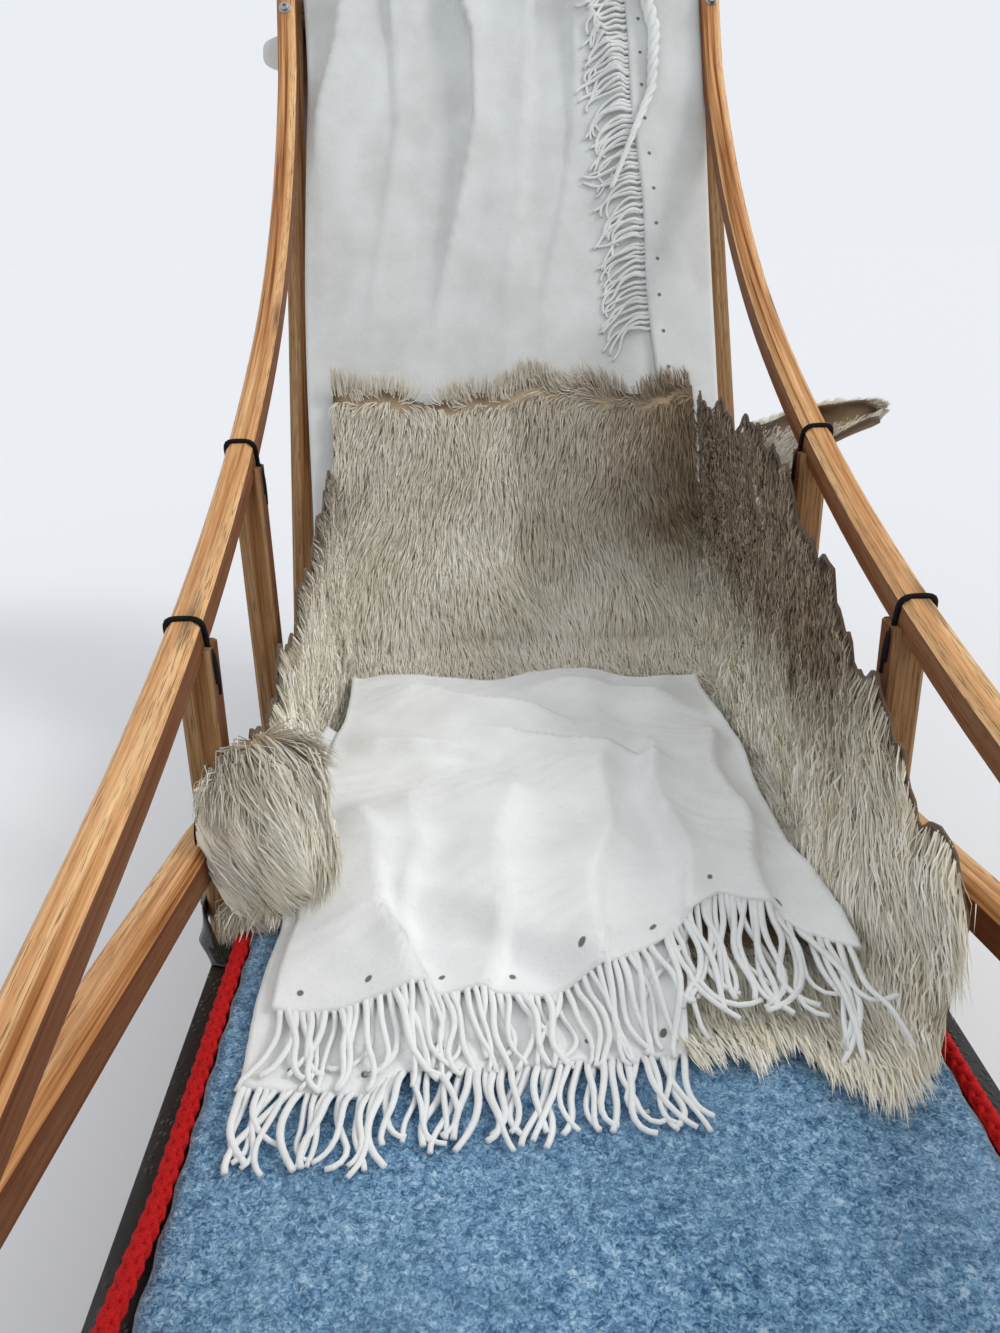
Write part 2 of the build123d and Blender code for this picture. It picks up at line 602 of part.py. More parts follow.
# Two claws hang from the bar, and a pad lies on top of it for the foot
tilt = Plane(origin=(0, *bar_rear), x_dir=(1, 0, 0), z_dir=(0, BRAKE_DROP, BRAKE_LENGTH))
straight_claw = CLAW_LENGTH - CLAW_POINT
hung = (Align.CENTER, Align.CENTER, Align.MAX)
claw = Cylinder(CLAW_DIAMETER / 2, straight_claw, align=hung)
claw = claw + Pos(0, 0, -straight_claw) * Cone(CLAW_TIP_RADIUS, CLAW_DIAMETER / 2, CLAW_POINT, align=hung)
claw_top = -BRAKE_BAR_THICKNESS / 2
claw_places = [side * (brake_x - CLAW_INSET) for side in (-1, 1)]
claws = [tilt * Pos(x, 0, claw_top) * claw for x in claw_places]
pad_block = Pos(0, 0, (BRAKE_BAR_THICKNESS + BRAKE_PAD[2]) / 2) * Box(*BRAKE_PAD)
brake_pad = tilt * fillet(pad_block.edges().filter_by(Axis.Z), BRAKE_PAD_CORNER)

# Brackets on the cross piece: a plate with two ears and a pin at each arm
brackets = []
ear_length = BRAKE_REACH + EAR_BEYOND
for side in (-1, 1):
    plate_y = pivot_y - BRAKE_REACH + EAR_THICKNESS / 2
    bracket = Pos(side * brake_x, plate_y, pivot_z) * Box(BRACKET_WIDTH, EAR_THICKNESS, BRACKET_HEIGHT)
    ear_gap = EYE_THICKNESS + 2 * EAR_CLEARANCE
    for ear in (-1, 1):
        x = side * brake_x + ear * (ear_gap + EAR_THICKNESS) / 2
        ear_y = pivot_y - BRAKE_REACH + ear_length / 2
        bracket = bracket + Pos(x, ear_y, pivot_z) * Box(EAR_THICKNESS, ear_length, EYE_HEIGHT)
    pin = dowel(ear_gap + 2 * (EAR_THICKNESS + PIN_STANDOUT), BRAKE_PIN, pivot_y, pivot_z)
    brackets.append(bracket + Pos(side * brake_x, 0, 0) * pin)

# Hide on the mat, turned up along both sides and up the foot of the backrest
hide_rear_y = station_y["rear"] - MAT_MARGIN
hide_front_y = hide_rear_y - HIDE_LENGTH
hide_x = (HIDE_WIDTH - HIDE_THICKNESS) / 2
hide_middle = BED_HEIGHT + GAP + HIDE_THICKNESS / 2
hide_ahead = fold_radius + BLANKET_THICKNESS / 2 + GAP + HIDE_THICKNESS / 2
hide_reach = backrest_y(HIDE_BACK_HEIGHT) - hide_front_y
hide_middle_y = hide_front_y + hide_reach / 2
hide_path = Wire(
    FilletPolyline(
        (hide_x, hide_middle_y, HIDE_BACK_HEIGHT),
        (hide_x, hide_middle_y, hide_middle),
        (-hide_x, hide_middle_y, hide_middle),
        (-hide_x, hide_middle_y, hide_middle + HIDE_LEFT_RISE),
        radius=HIDE_CORNER,
    ).edges()
)
hide_start = Plane(origin=hide_path @ 0, x_dir=(1, 0, 0), z_dir=(0, 0, -1))
reindeer_hide = sweep(hide_start * Rectangle(HIDE_THICKNESS, hide_reach), path=hide_path)
above_edge = Plane(
    origin=(0, hide_front_y, BED_HEIGHT + HIDE_RIGHT_RISE),
    x_dir=(1, 0, 0),
    z_dir=(0, -sin(radians(HIDE_RIGHT_SLOPE)), cos(radians(HIDE_RIGHT_SLOPE))),
)
reindeer_hide = reindeer_hide - extrude(above_edge * Rectangle(BEYOND, BEYOND), amount=BEYOND)
panel_bottom = hide_middle
panel_length = (HIDE_BACK_HEIGHT - panel_bottom) / cos(LEAN)
panel_middle = (HIDE_BACK_HEIGHT + panel_bottom) / 2 - hide_ahead * sin(LEAN)
panel_plane = lean_plane(panel_middle, hide_ahead)
reindeer_hide = reindeer_hide + panel_plane * Box(HIDE_WIDTH, panel_length, HIDE_THICKNESS)
behind_panel = panel_plane.offset(-HIDE_THICKNESS / 2) * Rectangle(BEYOND, BEYOND)
reindeer_hide = reindeer_hide - extrude(behind_panel, amount=-BEYOND)

# Seat blanket on the hide, its front end lying down onto the mat
seat_middle = seat_top + GAP + SEAT_BLANKET_THICKNESS / 2
mat_level = BED_HEIGHT + GAP + SEAT_BLANKET_THICKNESS / 2
step_turn = 24
step_radius = (seat_middle - mat_level) / 2 / (1 - cos(radians(step_turn)))
seat_rear_y = hide_rear_y - SEAT_BLANKET_TO_BACK
step_start_y = hide_front_y - SEAT_BLANKET_THICKNESS / 2
seat_path = side_plane(0, seat_rear_y) * bent_path(
    (0, seat_middle),
    0,
    [
        (seat_rear_y - step_start_y, -step_turn, step_radius),
        (0, step_turn, step_radius),
        (SEAT_BLANKET_LAP, 0, 0),
    ],
)
seat_blanket = bent_member(seat_path, SEAT_BLANKET_WIDTH, SEAT_BLANKET_THICKNESS)

# Ropes along the edges of the bed, from the first stanchions up to the front ones
rope_x = MAT_WIDTH / 2 + ROPE_CLEARANCE + ROPE_DIAMETER / 2
rope_level = SHEET_TOP + GAP + ROPE_DIAMETER / 2
rope_end_y = FRONT_POST_Y + POST_DEPTH / 2 + NOTCH_CLEARANCE
rope_path = Wire(
    FilletPolyline(
        (rope_x, STATION_Y["first"], rope_level),
        (rope_x, rope_end_y + ROPE_RUN, rope_level),
        (rope_x, rope_end_y, rope_level + ROPE_LIFT),
        radius=ROPE_BEND,
    ).edges()
)
rope_start = Plane(origin=rope_path @ 0, z_dir=rope_path % 0)
rope = sweep(rope_start * Circle(ROPE_DIAMETER / 2), path=rope_path)

write("left_runner", mirror(runner, about=Plane.YZ))
write("right_runner", runner)
write("runner_soles", pair(sole))
write("left_side_rail", mirror(rail, about=Plane.YZ))
write("right_side_rail", rail)
for name, post in posts.items():
    write(f"{name}_stanchions", pair(post))
for name, cross_piece in cross_pieces.items():
    write(f"{name}_cross_piece", cross_piece)
write("brush_bow", brush_bow)
write("nose_bar", nose_bar)
write("tow_eyes", pair(tow_eye))
write("bed_slats", slats)
write("bed_sheet", bed_sheet)
write("felt_mat", felt_mat)
for name, bar in bars.items():
    write(name, bar)
write("back_cloth", back_cloth)
write("back_blanket", back_blanket)
write("handle_bow", handle_bow)
write("backrest_braces", pair(brace))
write("footboards", pair(footboard))
write("footboard_pads", pair(footboard_pad))
write("brake_frame", brake_frame)
write("brake_claws", claws)
write("brake_pad", brake_pad)
write("brake_brackets", brackets)
write("reindeer_hide", reindeer_hide)
write("seat_blanket", seat_blanket)
write("side_ropes", pair(rope))
print("brake pivot", pivot_y, pivot_z, "claw tips at", claws[0].bounding_box().min.Z)
print("nose bar", nose_bar_y, nose_bar_z, "flat of the bed ends at", flat_front_y)
print("rail radius", rail_radius, "straight", rail_straight)
print("towing eye's hole", hole_at.position)
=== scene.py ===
# %% [markdown]
# # A wooden touring sled
#
# This notebook dresses the engineered frame of a touring sled: ash runners, rails and stanchions, a
# reclined backrest under a fleece blanket, a hide and a fringed blanket on the seat, and red ropes
# along the edges of a blue felt mat. The frame arrives finished and stays where it is. Every piece of
# cloth, fur, cord and hardware is made here, in metres, in the frame's own coordinates: X to the
# sled's right-hand side of the picture, -Y the way it travels, Z up.

import math

import bpy
import numpy as np
from mathutils import Matrix, Vector


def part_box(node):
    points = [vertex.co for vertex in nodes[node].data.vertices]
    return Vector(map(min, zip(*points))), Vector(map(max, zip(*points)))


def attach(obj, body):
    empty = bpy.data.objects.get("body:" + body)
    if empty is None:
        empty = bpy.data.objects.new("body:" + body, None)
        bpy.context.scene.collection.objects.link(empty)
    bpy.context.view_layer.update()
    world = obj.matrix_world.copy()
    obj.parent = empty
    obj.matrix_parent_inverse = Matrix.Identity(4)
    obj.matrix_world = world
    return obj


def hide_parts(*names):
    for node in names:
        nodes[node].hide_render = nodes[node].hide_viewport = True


def placed(name, data):
    """A new object in the scene that shows some data."""
    made = bpy.data.objects.new(name, data)
    bpy.context.scene.collection.objects.link(made)
    return made


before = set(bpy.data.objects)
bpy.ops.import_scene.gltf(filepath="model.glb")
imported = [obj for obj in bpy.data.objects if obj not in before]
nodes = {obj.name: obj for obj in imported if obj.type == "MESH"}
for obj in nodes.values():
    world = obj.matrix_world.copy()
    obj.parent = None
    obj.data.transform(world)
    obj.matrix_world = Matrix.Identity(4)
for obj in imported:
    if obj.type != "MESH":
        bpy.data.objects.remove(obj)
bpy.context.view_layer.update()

# %% [markdown]
# ## Camera, floor and light
#
# The picture was taken from above the front of the bed, at the height of a person bending over it,
# looking back and down at the seat. A short lens so close makes the rails sweep past the viewer.
# The light is that of a bright overcast day: it comes from everywhere, with only a slightly stronger
# side. A pale world does most of the work and one broad sun gives the folds their direction.

# %% A camera set by its place and three turns
def camera_matrix(place, yaw, pitch, roll):
    """World matrix of a camera that looks along +Y before its turns, in degrees."""
    yaw, pitch, roll = (math.radians(turn) for turn in (yaw, pitch, roll))
    ahead = Vector((math.sin(yaw) * math.cos(pitch), math.cos(yaw) * math.cos(pitch), -math.sin(pitch)))
    right = Vector((math.cos(yaw), -math.sin(yaw), 0))
    up = right.cross(ahead)
    side = math.cos(roll) * right + math.sin(roll) * up
    top = math.cos(roll) * up - math.sin(roll) * right
    matrix = Matrix((side, top, -ahead)).transposed().to_4x4()
    matrix.translation = place
    return matrix


camera_data = bpy.data.cameras.new("camera")
camera_data.lens = 27
camera_data.sensor_width = 36
camera_data.sensor_fit = "AUTO"
camera_data.clip_start = 0.01
camera = placed("camera", camera_data)
camera.matrix_world = camera_matrix((-0.0581, -0.9687, 0.728), yaw=1.27, pitch=22.75, roll=-1.35)
bpy.context.scene.camera = camera
print("camera at", tuple(round(v, 3) for v in camera.location))

# %% Any node of a tree, and values that Python's operators work on
def add_node(tree, kind, settings=(), sockets=()):
    """A node: its settings first, then the values or links of its sockets."""
    made = tree.nodes.new(kind)
    for name, setting in dict(settings).items():
        if name == "stops":
            set_stops(made.color_ramp, setting)
        else:
            setattr(made, name, setting)
    for name, value in dict(sockets).items():
        value = value.socket if isinstance(value, Value) else value
        if isinstance(value, bpy.types.NodeSocket):
            tree.links.new(value, made.inputs[name])
        else:
            made.inputs[name].default_value = value
    return made


def set_stops(ramp, stops):
    """Stops of place and colour, in place of those a colour ramp starts with."""
    while len(ramp.elements) > 1:
        ramp.elements.remove(ramp.elements[0])
    for index, (place, colour) in enumerate(stops):
        stop = ramp.elements[0] if index == 0 else ramp.elements.new(place)
        stop.position = place
        stop.color = (*colour, 1)


def from_screen(red, green, blue):
    """A colour as read on a screen, 0 to 255, in the linear form that shaders use."""
    return tuple(
        v / 12.92 if v <= 0.04045 else ((v + 0.055) / 1.055) ** 2.4
        for v in (c / 255 for c in (red, green, blue))
    )


class Value:
    """One output socket; arithmetic on it adds Math nodes to its finish."""

    def __init__(self, finish, socket):
        self.finish = finish
        self.socket = socket

    def math(self, operation, *terms):
        return self.finish.node("ShaderNodeMath", {"operation": operation}, dict(enumerate(terms)))

    def __add__(self, other):
        return self.math("ADD", self, other)

    __radd__ = __add__

    def __sub__(self, other):
        return self.math("SUBTRACT", self, other)

    def __rsub__(self, other):
        return self.math("SUBTRACT", other, self)

    def __mul__(self, other):
        return self.math("MULTIPLY", self, other)

    __rmul__ = __mul__

    def __truediv__(self, other):
        return self.math("DIVIDE", self, other)

    def __pow__(self, other):
        return self.math("POWER", self, other)

    def sine(self):
        return self.math("SINE", self)

    def size(self):
        return self.math("ABSOLUTE", self)

    def fraction(self):
        return self.math("FRACT", self)

    def ramp(self, low, high):
        """0 below low, 1 above high, straight between."""
        settings = {"clamp": True}
        return self.finish.node("ShaderNodeMapRange", settings, {0: self, 1: low, 2: high, 3: 0.0, 4: 1.0})


print("mid grey as a shader colour", round(from_screen(128, 128, 128)[0], 3))

# %% A finish: a material with short names for its nodes
class Finish:
    """A material, its Principled shader, and short names for the nodes it uses."""

    def __init__(self, name, **plain):
        self.material = bpy.data.materials.new(name)
        self.material.use_nodes = True
        self.tree = self.material.node_tree
        self.shader = self.tree.nodes["Principled BSDF"]
        for socket, value in plain.items():
            self.shader.inputs[socket.replace("_", " ")].default_value = value

    def node(self, kind, settings=(), sockets=(), output=0):
        """The value of one output of a new node."""
        made = add_node(self.tree, kind, settings, sockets)
        return Value(self, made.outputs[output])

    def attribute(self, name, output=1):
        """A named attribute: output 1 is its vector, 2 its number."""
        return self.node("ShaderNodeAttribute", {"attribute_name": name}, output=output)

    def place(self):
        """The point's place in the frame, in metres."""
        return self.node("ShaderNodeTexCoord", output=3)

    def stretch(self, vector, factors, shift=(0, 0, 0)):
        """A vector times one factor for each axis, plus a shift."""
        settings = {"operation": "MULTIPLY_ADD"}
        return self.node("ShaderNodeVectorMath", settings, {0: vector, 1: factors, 2: shift})

    def parts(self, vector):
        """The three numbers of a vector."""
        made = add_node(self.tree, "ShaderNodeSeparateXYZ", (), {0: vector})
        return [Value(self, socket) for socket in made.outputs]

    def join(self, x, y, z):
        return self.node("ShaderNodeCombineXYZ", (), {0: x, 1: y, 2: z})

    def noise(self, vector, scale, detail=2.0, roughness=0.5, distortion=0.0):
        sockets = {"Vector": vector, "Scale": scale, "Detail": detail}
        sockets.update({"Roughness": roughness, "Distortion": distortion})
        return self.node("ShaderNodeTexNoise", (), sockets)

    def cells(self, vector, scale, randomness=1.0):
        """Distance from the nearest of many scattered points."""
        sockets = {"Vector": vector, "Scale": scale, "Randomness": randomness}
        return self.node("ShaderNodeTexVoronoi", (), sockets)

    def colours(self, value, stops):
        """A number turned into a colour by stops of place and colour."""
        return self.node("ShaderNodeValToRGB", {"stops": stops}, {0: value})

    def mix(self, first, second, share):
        """Two colours mixed; share 0 is the first."""
        settings = {"data_type": "RGBA"}
        first, second = (c if isinstance(c, Value) else (*c, 1) for c in (first, second))
        return self.node("ShaderNodeMix", settings, {0: share, 6: first, 7: second}, output=2)

    def bump(self, height, distance, strength=1.0, under=None):
        sockets = {"Height": height, "Distance": distance, "Strength": strength}
        if under is not None:
            sockets["Normal"] = under
        return self.node("ShaderNodeBump", (), sockets)

    def set(self, **links):
        """Link values that change over the surface to the shader."""
        for name, value in links.items():
            self.tree.links.new(value.socket, self.shader.inputs[name.replace("_", " ")])
        return self.material


print("red as a shader colour", [round(c, 3) for c in from_screen(200, 40, 40)])

# %% Floor and light
def flat_mesh(name, corners):
    mesh = bpy.data.meshes.new(name)
    mesh.from_pydata(corners, [], [tuple(range(len(corners)))])
    return placed(name, mesh)


FLOOR_HALF = 90
FLOOR_COLOUR = (0.82, 0.83, 0.85, 1)
BACKDROP_COLOUR = from_screen(235, 238, 243)
SKY_COLOUR = (0.95, 0.97, 1.0, 1)
SKY_STRENGTH = 0.84
floor_corners = [(x * FLOOR_HALF, y * FLOOR_HALF, 0) for x, y in ((-1, -1), (1, -1), (1, 1), (-1, 1))]
floor = flat_mesh("floor", floor_corners)
floor_finish = Finish("pale_floor", Roughness=0.9, Base_Color=FLOOR_COLOUR)
floor.data.materials.append(floor_finish.material)
print("floor spans", 2 * FLOOR_HALF, "m")

# %% A sky that lights, and a plain backdrop that is seen
world = bpy.data.worlds.new("overcast")
world.use_nodes = True
bpy.context.scene.world = world
sky = world.node_tree
rays = add_node(sky, "ShaderNodeLightPath").outputs


def either(first, second):
    """1 where one of two sockets is 1."""
    return add_node(sky, "ShaderNodeMath", {"operation": "MAXIMUM"}, {0: first, 1: second}).outputs[0]


through = either(rays["Is Glossy Ray"], rays["Is Transmission Ray"])
seen = either(rays["Is Camera Ray"], through)
backdrop = add_node(sky, "ShaderNodeBackground", (), {"Color": (*BACKDROP_COLOUR, 1)})
soft_light = sky.nodes["Background"]
soft_light.inputs["Color"].default_value = SKY_COLOUR
soft_light.inputs["Strength"].default_value = SKY_STRENGTH
sky_sockets = {0: seen, 1: soft_light.outputs[0], 2: backdrop.outputs[0]}
choose = add_node(sky, "ShaderNodeMixShader", (), sky_sockets)
sky.links.new(choose.outputs[0], sky.nodes["World Output"].inputs["Surface"])
print("sky has", len(sky.nodes), "nodes")

# %% One broad sun
def add_sun(name, strength, angle, towards, colour=(1, 1, 1)):
    """A distant lamp of a given width in degrees that shines along a direction."""
    data = bpy.data.lights.new(name, "SUN")
    data.energy = strength
    data.angle = math.radians(angle)
    data.color = colour
    lamp = placed(name, data)
    lamp.rotation_euler = Vector(towards).to_track_quat("-Z", "Y").to_euler()


add_sun("broad_light", 1.05, 16, (-1.0, 0.3, -0.9), (1.0, 0.985, 0.96))
bpy.context.scene.view_settings.view_transform = "Standard"
print("stage ready")

# %% [markdown]
# ## Which way the grain runs
#
# Ash splits along its fibres, so every stick of the sled is sawn or bent with its grain along its
# length, also round the curves of the rails, the runners and the bow. A flat projection of a wood
# texture would cut across those curves. Instead a Geometry Nodes modifier gives each point of a piece
# its distance along a guide line, and its offset to each side of it. The shader then draws the
# fibres in those straightened-out coordinates.

# %% Guide lines through the middle of each bent stick
LEAN_DEGREES = 28.7
LEAN = math.radians(LEAN_DEGREES)
FOOT_Y = 0.3
FOOT_Z = 0.205
TAIL_Y = 1.26
RUNNER_X = 0.29
REAR_TOP = (0.300, 1.095)
TOP_BAR_Z = 1.045


def backrest_y(height):
    """Y of the rear stanchions' centre line at a height."""
    return FOOT_Y + (height - FOOT_Z) * math.tan(LEAN)


def bent_line(start, heading, runs, x_at):
    """Points of a line that runs forward in Y, from runs of length, turn in degrees and radius."""
    y, z = start
    points = [(y, z)]
    angle = math.radians(heading)
    for length, turn, radius in runs:
        if length:
            y, z = y - length * math.cos(angle), z + length * math.sin(angle)
            points.append((y, z))
        steps = max(1, round(abs(turn) / 2)) if turn else 0
        for _ in range(steps):
            step = math.radians(turn) / steps
            chord = 2 * radius * math.sin(abs(step) / 2)
            angle += step / 2
            y, z = y - chord * math.cos(angle), z + chord * math.sin(angle)
            angle += step / 2
            points.append((y, z))
    return [Vector((x_at(y), y, z)) for y, z in points]


def mirrored(points):
    return [Vector((-p.x, p.y, p.z)) for p in points]


def rounded_line(corners, radii):
    """A flat line through corners, each inner one rounded to its radius."""
    line = [Vector(corners[0])]
    for before, corner, after, radius in zip(corners, corners[1:], corners[2:], radii):
        before, corner, after = Vector(before), Vector(corner), Vector(after)
        into = (corner - before).normalized()
        out = (after - corner).normalized()
        cut = radius * math.tan(into.angle(out) / 2)
        start, end = corner - into * cut, corner + out * cut
        for k in range(13):
            share = k / 12
            line.append(start.lerp(corner, share).lerp(corner.lerp(end, share), share))
    return [*line, Vector(corners[-1])]


print("backrest at the top bar: y", round(backrest_y(TOP_BAR_Z), 3))

# %% The rail, the runner, the brush bow and the handle bow
RAIL_AHEAD = 0.031
RAIL_SLOPE = 7.1
RAIL_BOLTED = 0.126
RAIL_RADIUS = 1.3072
RAIL_FRONT = 0.444
RAIL_X = 0.304
RAIL_TAPER = 0.0216
# the bend's arcs: share of its turn, radius in main radii
RAIL_ARCS = ((0.24, 0.21), (0.44, 1), (0.32, 1.87))
rail_start_y = backrest_y(REAR_TOP[1]) - RAIL_AHEAD / math.cos(LEAN)
rail_turn = 90 - LEAN_DEGREES - RAIL_SLOPE
rail_arcs = [(0, share * rail_turn, ratio * RAIL_RADIUS) for share, ratio in RAIL_ARCS]
rail_runs = [(RAIL_BOLTED, 0, 0), *rail_arcs, (RAIL_FRONT, 0, 0)]


def rail_x(y):
    """The rails draw in towards the front."""
    return RAIL_X - RAIL_TAPER * (rail_start_y - y)


rail_line = bent_line((rail_start_y, REAR_TOP[1]), LEAN_DEGREES - 90, rail_runs, rail_x)
runner_runs = [(1.94, 64, 0.32), (0.211, 0, 0)]
runner_line = bent_line((TAIL_Y, 0.021), 0, runner_runs, lambda y: RUNNER_X)
BOW_X = 0.301
BOW_REAR_Y = -0.2156
BOW_REAR_Z = 0.255
BOW_SLOPE = 9.1


def bow_height(y):
    """Height of the brush bow's centre line at Y."""
    return BOW_REAR_Z + (BOW_REAR_Y - y) * math.tan(math.radians(BOW_SLOPE))


bow_half = [(BOW_X, BOW_REAR_Y), (BOW_X, -0.72), (0.286, -1.244)]
bow_corners = [*bow_half, *((-x, y) for x, y in reversed(bow_half))]
bow_line = [Vector((p.x, p.y, bow_height(p.y))) for p in rounded_line(bow_corners, (1.5, 0.18, 0.18, 1.5))]
handle_corners = [(0.3, -0.226), (0.3, 0.129), (-0.3, 0.129), (-0.3, -0.226)]
HANDLE_BEHIND = 0.03
handle_origin = Vector((
    0,
    backrest_y(TOP_BAR_Z) + HANDLE_BEHIND * math.cos(LEAN),
    TOP_BAR_Z - HANDLE_BEHIND * math.sin(LEAN),
))
handle_line = [
    handle_origin + Vector((p.x, p.y * math.sin(LEAN), p.y * math.cos(LEAN)))
    for p in rounded_line(handle_corners, (0.11, 0.11))
]
print("rail guide", len(rail_line), "points, bow guide", len(bow_line), "points")

# %% Guides for the straight sticks come from the frame's own meshes
def half_points(name, side):
    """The vertices of a node on one side of the sled."""
    points = np.array([v.co for v in nodes[name].data.vertices])
    return points[points[:, 0] * side > 0]


def stick(name, axis, side):
    """A line through the middle of one straight stick of a pair, from end to end."""
    points = half_points(name, side)
    low, high = points[:, axis].min(), points[:, axis].max()
    near = points[points[:, axis] < low + 0.06 * (high - low)].mean(0)
    far = points[points[:, axis] > high - 0.06 * (high - low)].mean(0)
    return [Vector(near), Vector(far)]


def cross_bar(name):
    """A line through the middle of a bar that runs across the sled."""
    low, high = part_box(name)
    y, z = (low[1] + high[1]) / 2, (low[2] + high[2]) / 2
    return [Vector((low[0], y, z)), Vector((high[0], y, z))]


SLAT_HALF_WIDTH = 0.022
slat_low, slat_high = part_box("bed_slats")
slat_step = (slat_high[0] - slat_low[0] - 2 * SLAT_HALF_WIDTH) / 3
slat_z = (slat_low[2] + slat_high[2]) / 2
guides = {
    "left_runner": [mirrored(runner_line)],
    "right_runner": [runner_line],
    "left_side_rail": [mirrored(rail_line)],
    "right_side_rail": [rail_line],
    "brush_bow": [bow_line],
    "handle_bow": [handle_line],
    "bed_slats": [
        [Vector((x, slat_high[1], slat_z)), Vector((x, slat_low[1], slat_z))]
        for x in (slat_low[0] + SLAT_HALF_WIDTH + k * slat_step for k in range(4))
    ],
}
for name in ("rear", "first", "second", "front"):
    guides[f"{name}_stanchions"] = [stick(f"{name}_stanchions", 2, side) for side in (1, -1)]
    guides[f"{name}_cross_piece"] = [cross_bar(f"{name}_cross_piece")]
for name in ("backrest_top_bar", "backrest_lower_bar", "nose_bar"):
    guides[name] = [cross_bar(name)]
guides["backrest_braces"] = [stick("backrest_braces", 2, side) for side in (1, -1)]
guides["footboards"] = [stick("footboards", 1, side) for side in (1, -1)]
print("guides for", len(guides), "wooden pieces")

# %% A hidden mesh holds the guides' points, with their direction and distance
GUIDE_STEP = 0.012


def guide_object(name, lines):
    """Points a step apart along lines, each with its distance, direction, side and seed."""
    points, along, ways, sides, seeds = [], [], [], [], []
    for seed, line in enumerate(lines):
        travelled = 0.0
        for start, end in zip(line, line[1:]):
            way = (end - start).normalized()
            side = Vector((1, 0, 0)) - way * way.x
            side = side.normalized() if side.length > 0.3 else Vector((0, 0, 1)).cross(way).normalized()
            count = max(1, round((end - start).length / GUIDE_STEP))
            for k in range(count):
                points.append(start.lerp(end, (k + 0.5) / count))
                along.append(travelled + (end - start).length * (k + 0.5) / count)
                ways.append(way)
                sides.append(side)
                seeds.append(seed + 1.0)
            travelled += (end - start).length
    mesh = bpy.data.meshes.new(name)
    mesh.from_pydata(points, [], [])
    for key, kind, values in (
        ("along", "FLOAT", along),
        ("seed", "FLOAT", seeds),
        ("way", "FLOAT_VECTOR", ways),
        ("side", "FLOAT_VECTOR", sides),
    ):
        layer = mesh.attributes.new(key, kind, "POINT")
        flat = np.array(values, np.float32).reshape(-1)
        layer.data.foreach_set("value" if kind == "FLOAT" else "vector", flat)
    made = placed(name, mesh)
    made.hide_render = True
    made.hide_viewport = True
    return made


print("guides have a point every", GUIDE_STEP, "m")

# %% The node group that writes the grain coordinates
class Fields:
    """Short names for building a geometry node group."""

    def __init__(self, name):
        self.tree = bpy.data.node_groups.new(name, "GeometryNodeTree")

    def node(self, kind, settings=(), sockets=(), output=0):
        return add_node(self.tree, kind, settings, sockets).outputs[output]

    def vector(self, operation, first, second, output=0):
        return self.node("ShaderNodeVectorMath", {"operation": operation}, {0: first, 1: second}, output)


def grain_group():
    made = Fields("grain_of_the_wood")
    face = made.tree.interface
    face.new_socket("Geometry", in_out="INPUT", socket_type="NodeSocketGeometry")
    face.new_socket("Guide", in_out="INPUT", socket_type="NodeSocketObject")
    face.new_socket("Geometry", in_out="OUTPUT", socket_type="NodeSocketGeometry")
    start = made.tree.nodes.new("NodeGroupInput")
    end = made.tree.nodes.new("NodeGroupOutput")
    guide = made.node("GeometryNodeObjectInfo", (), {"Object": start.outputs["Guide"]}, "Geometry")
    nearest = made.node("GeometryNodeSampleNearest", {"domain": "POINT"}, {"Geometry": guide})

    def sample(kind, field):
        settings = {"data_type": kind, "domain": "POINT"}
        sockets = {"Geometry": guide, "Value": field, "Index": nearest}
        return made.node("GeometryNodeSampleIndex", settings, sockets)

    def stored(name, kind):
        return made.node("GeometryNodeInputNamedAttribute", {"data_type": kind}, {"Name": name})

    place = made.node("GeometryNodeInputPosition")
    way = sample("FLOAT_VECTOR", stored("way", "FLOAT_VECTOR"))
    side = sample("FLOAT_VECTOR", stored("side", "FLOAT_VECTOR"))
    along = sample("FLOAT", stored("along", "FLOAT"))
    seed = sample("FLOAT", stored("seed", "FLOAT"))
    offset = made.vector("SUBTRACT", place, sample("FLOAT_VECTOR", place))
    third = made.vector("CROSS_PRODUCT", way, side)
    ahead = made.vector("DOT_PRODUCT", offset, way, "Value")
    far = made.node("ShaderNodeMath", {"operation": "ADD"}, {0: along, 1: ahead})
    across = made.vector("DOT_PRODUCT", offset, side, "Value")
    up = made.vector("DOT_PRODUCT", offset, third, "Value")
    grain = made.node("ShaderNodeCombineXYZ", (), {0: far, 1: across, 2: up})
    body = start.outputs["Geometry"]
    for name, kind, value in (("grain", "FLOAT_VECTOR", grain), ("seed", "FLOAT", seed)):
        settings = {"data_type": kind, "domain": "POINT"}
        sockets = {"Geometry": body, "Name": name, "Value": value}
        body = made.node("GeometryNodeStoreNamedAttribute", settings, sockets)
    made.tree.links.new(body, end.inputs["Geometry"])
    return made.tree


grain_nodes = grain_group()
guide_key = next(s.identifier for s in grain_nodes.interface.items_tree if s.name == "Guide")
print("grain group has", len(grain_nodes.nodes), "nodes")

# %% The edges of a piece from the frame
def round_edges(piece, width, angle):
    """Weld the imported faces, take the sharp edges off and smooth what is left."""
    weld = piece.modifiers.new("weld", "WELD")
    weld.merge_threshold = 0.00002
    if width:
        bevel = piece.modifiers.new("arris", "BEVEL")
        bevel.width = width
        bevel.segments = 2
        bevel.limit_method = "ANGLE"
        bevel.angle_limit = math.radians(angle)
        bevel.harden_normals = False
    weighted = piece.modifiers.new("even_shading", "WEIGHTED_NORMAL")
    weighted.keep_sharp = False


def lay_grain(piece, lines):
    modifier = piece.modifiers.new("grain", "NODES")
    modifier.node_group = grain_nodes
    modifier[guide_key] = guide_object(f"{piece.name}_guide", lines)


print("pieces from the frame get a weld, a bevel and even shading")

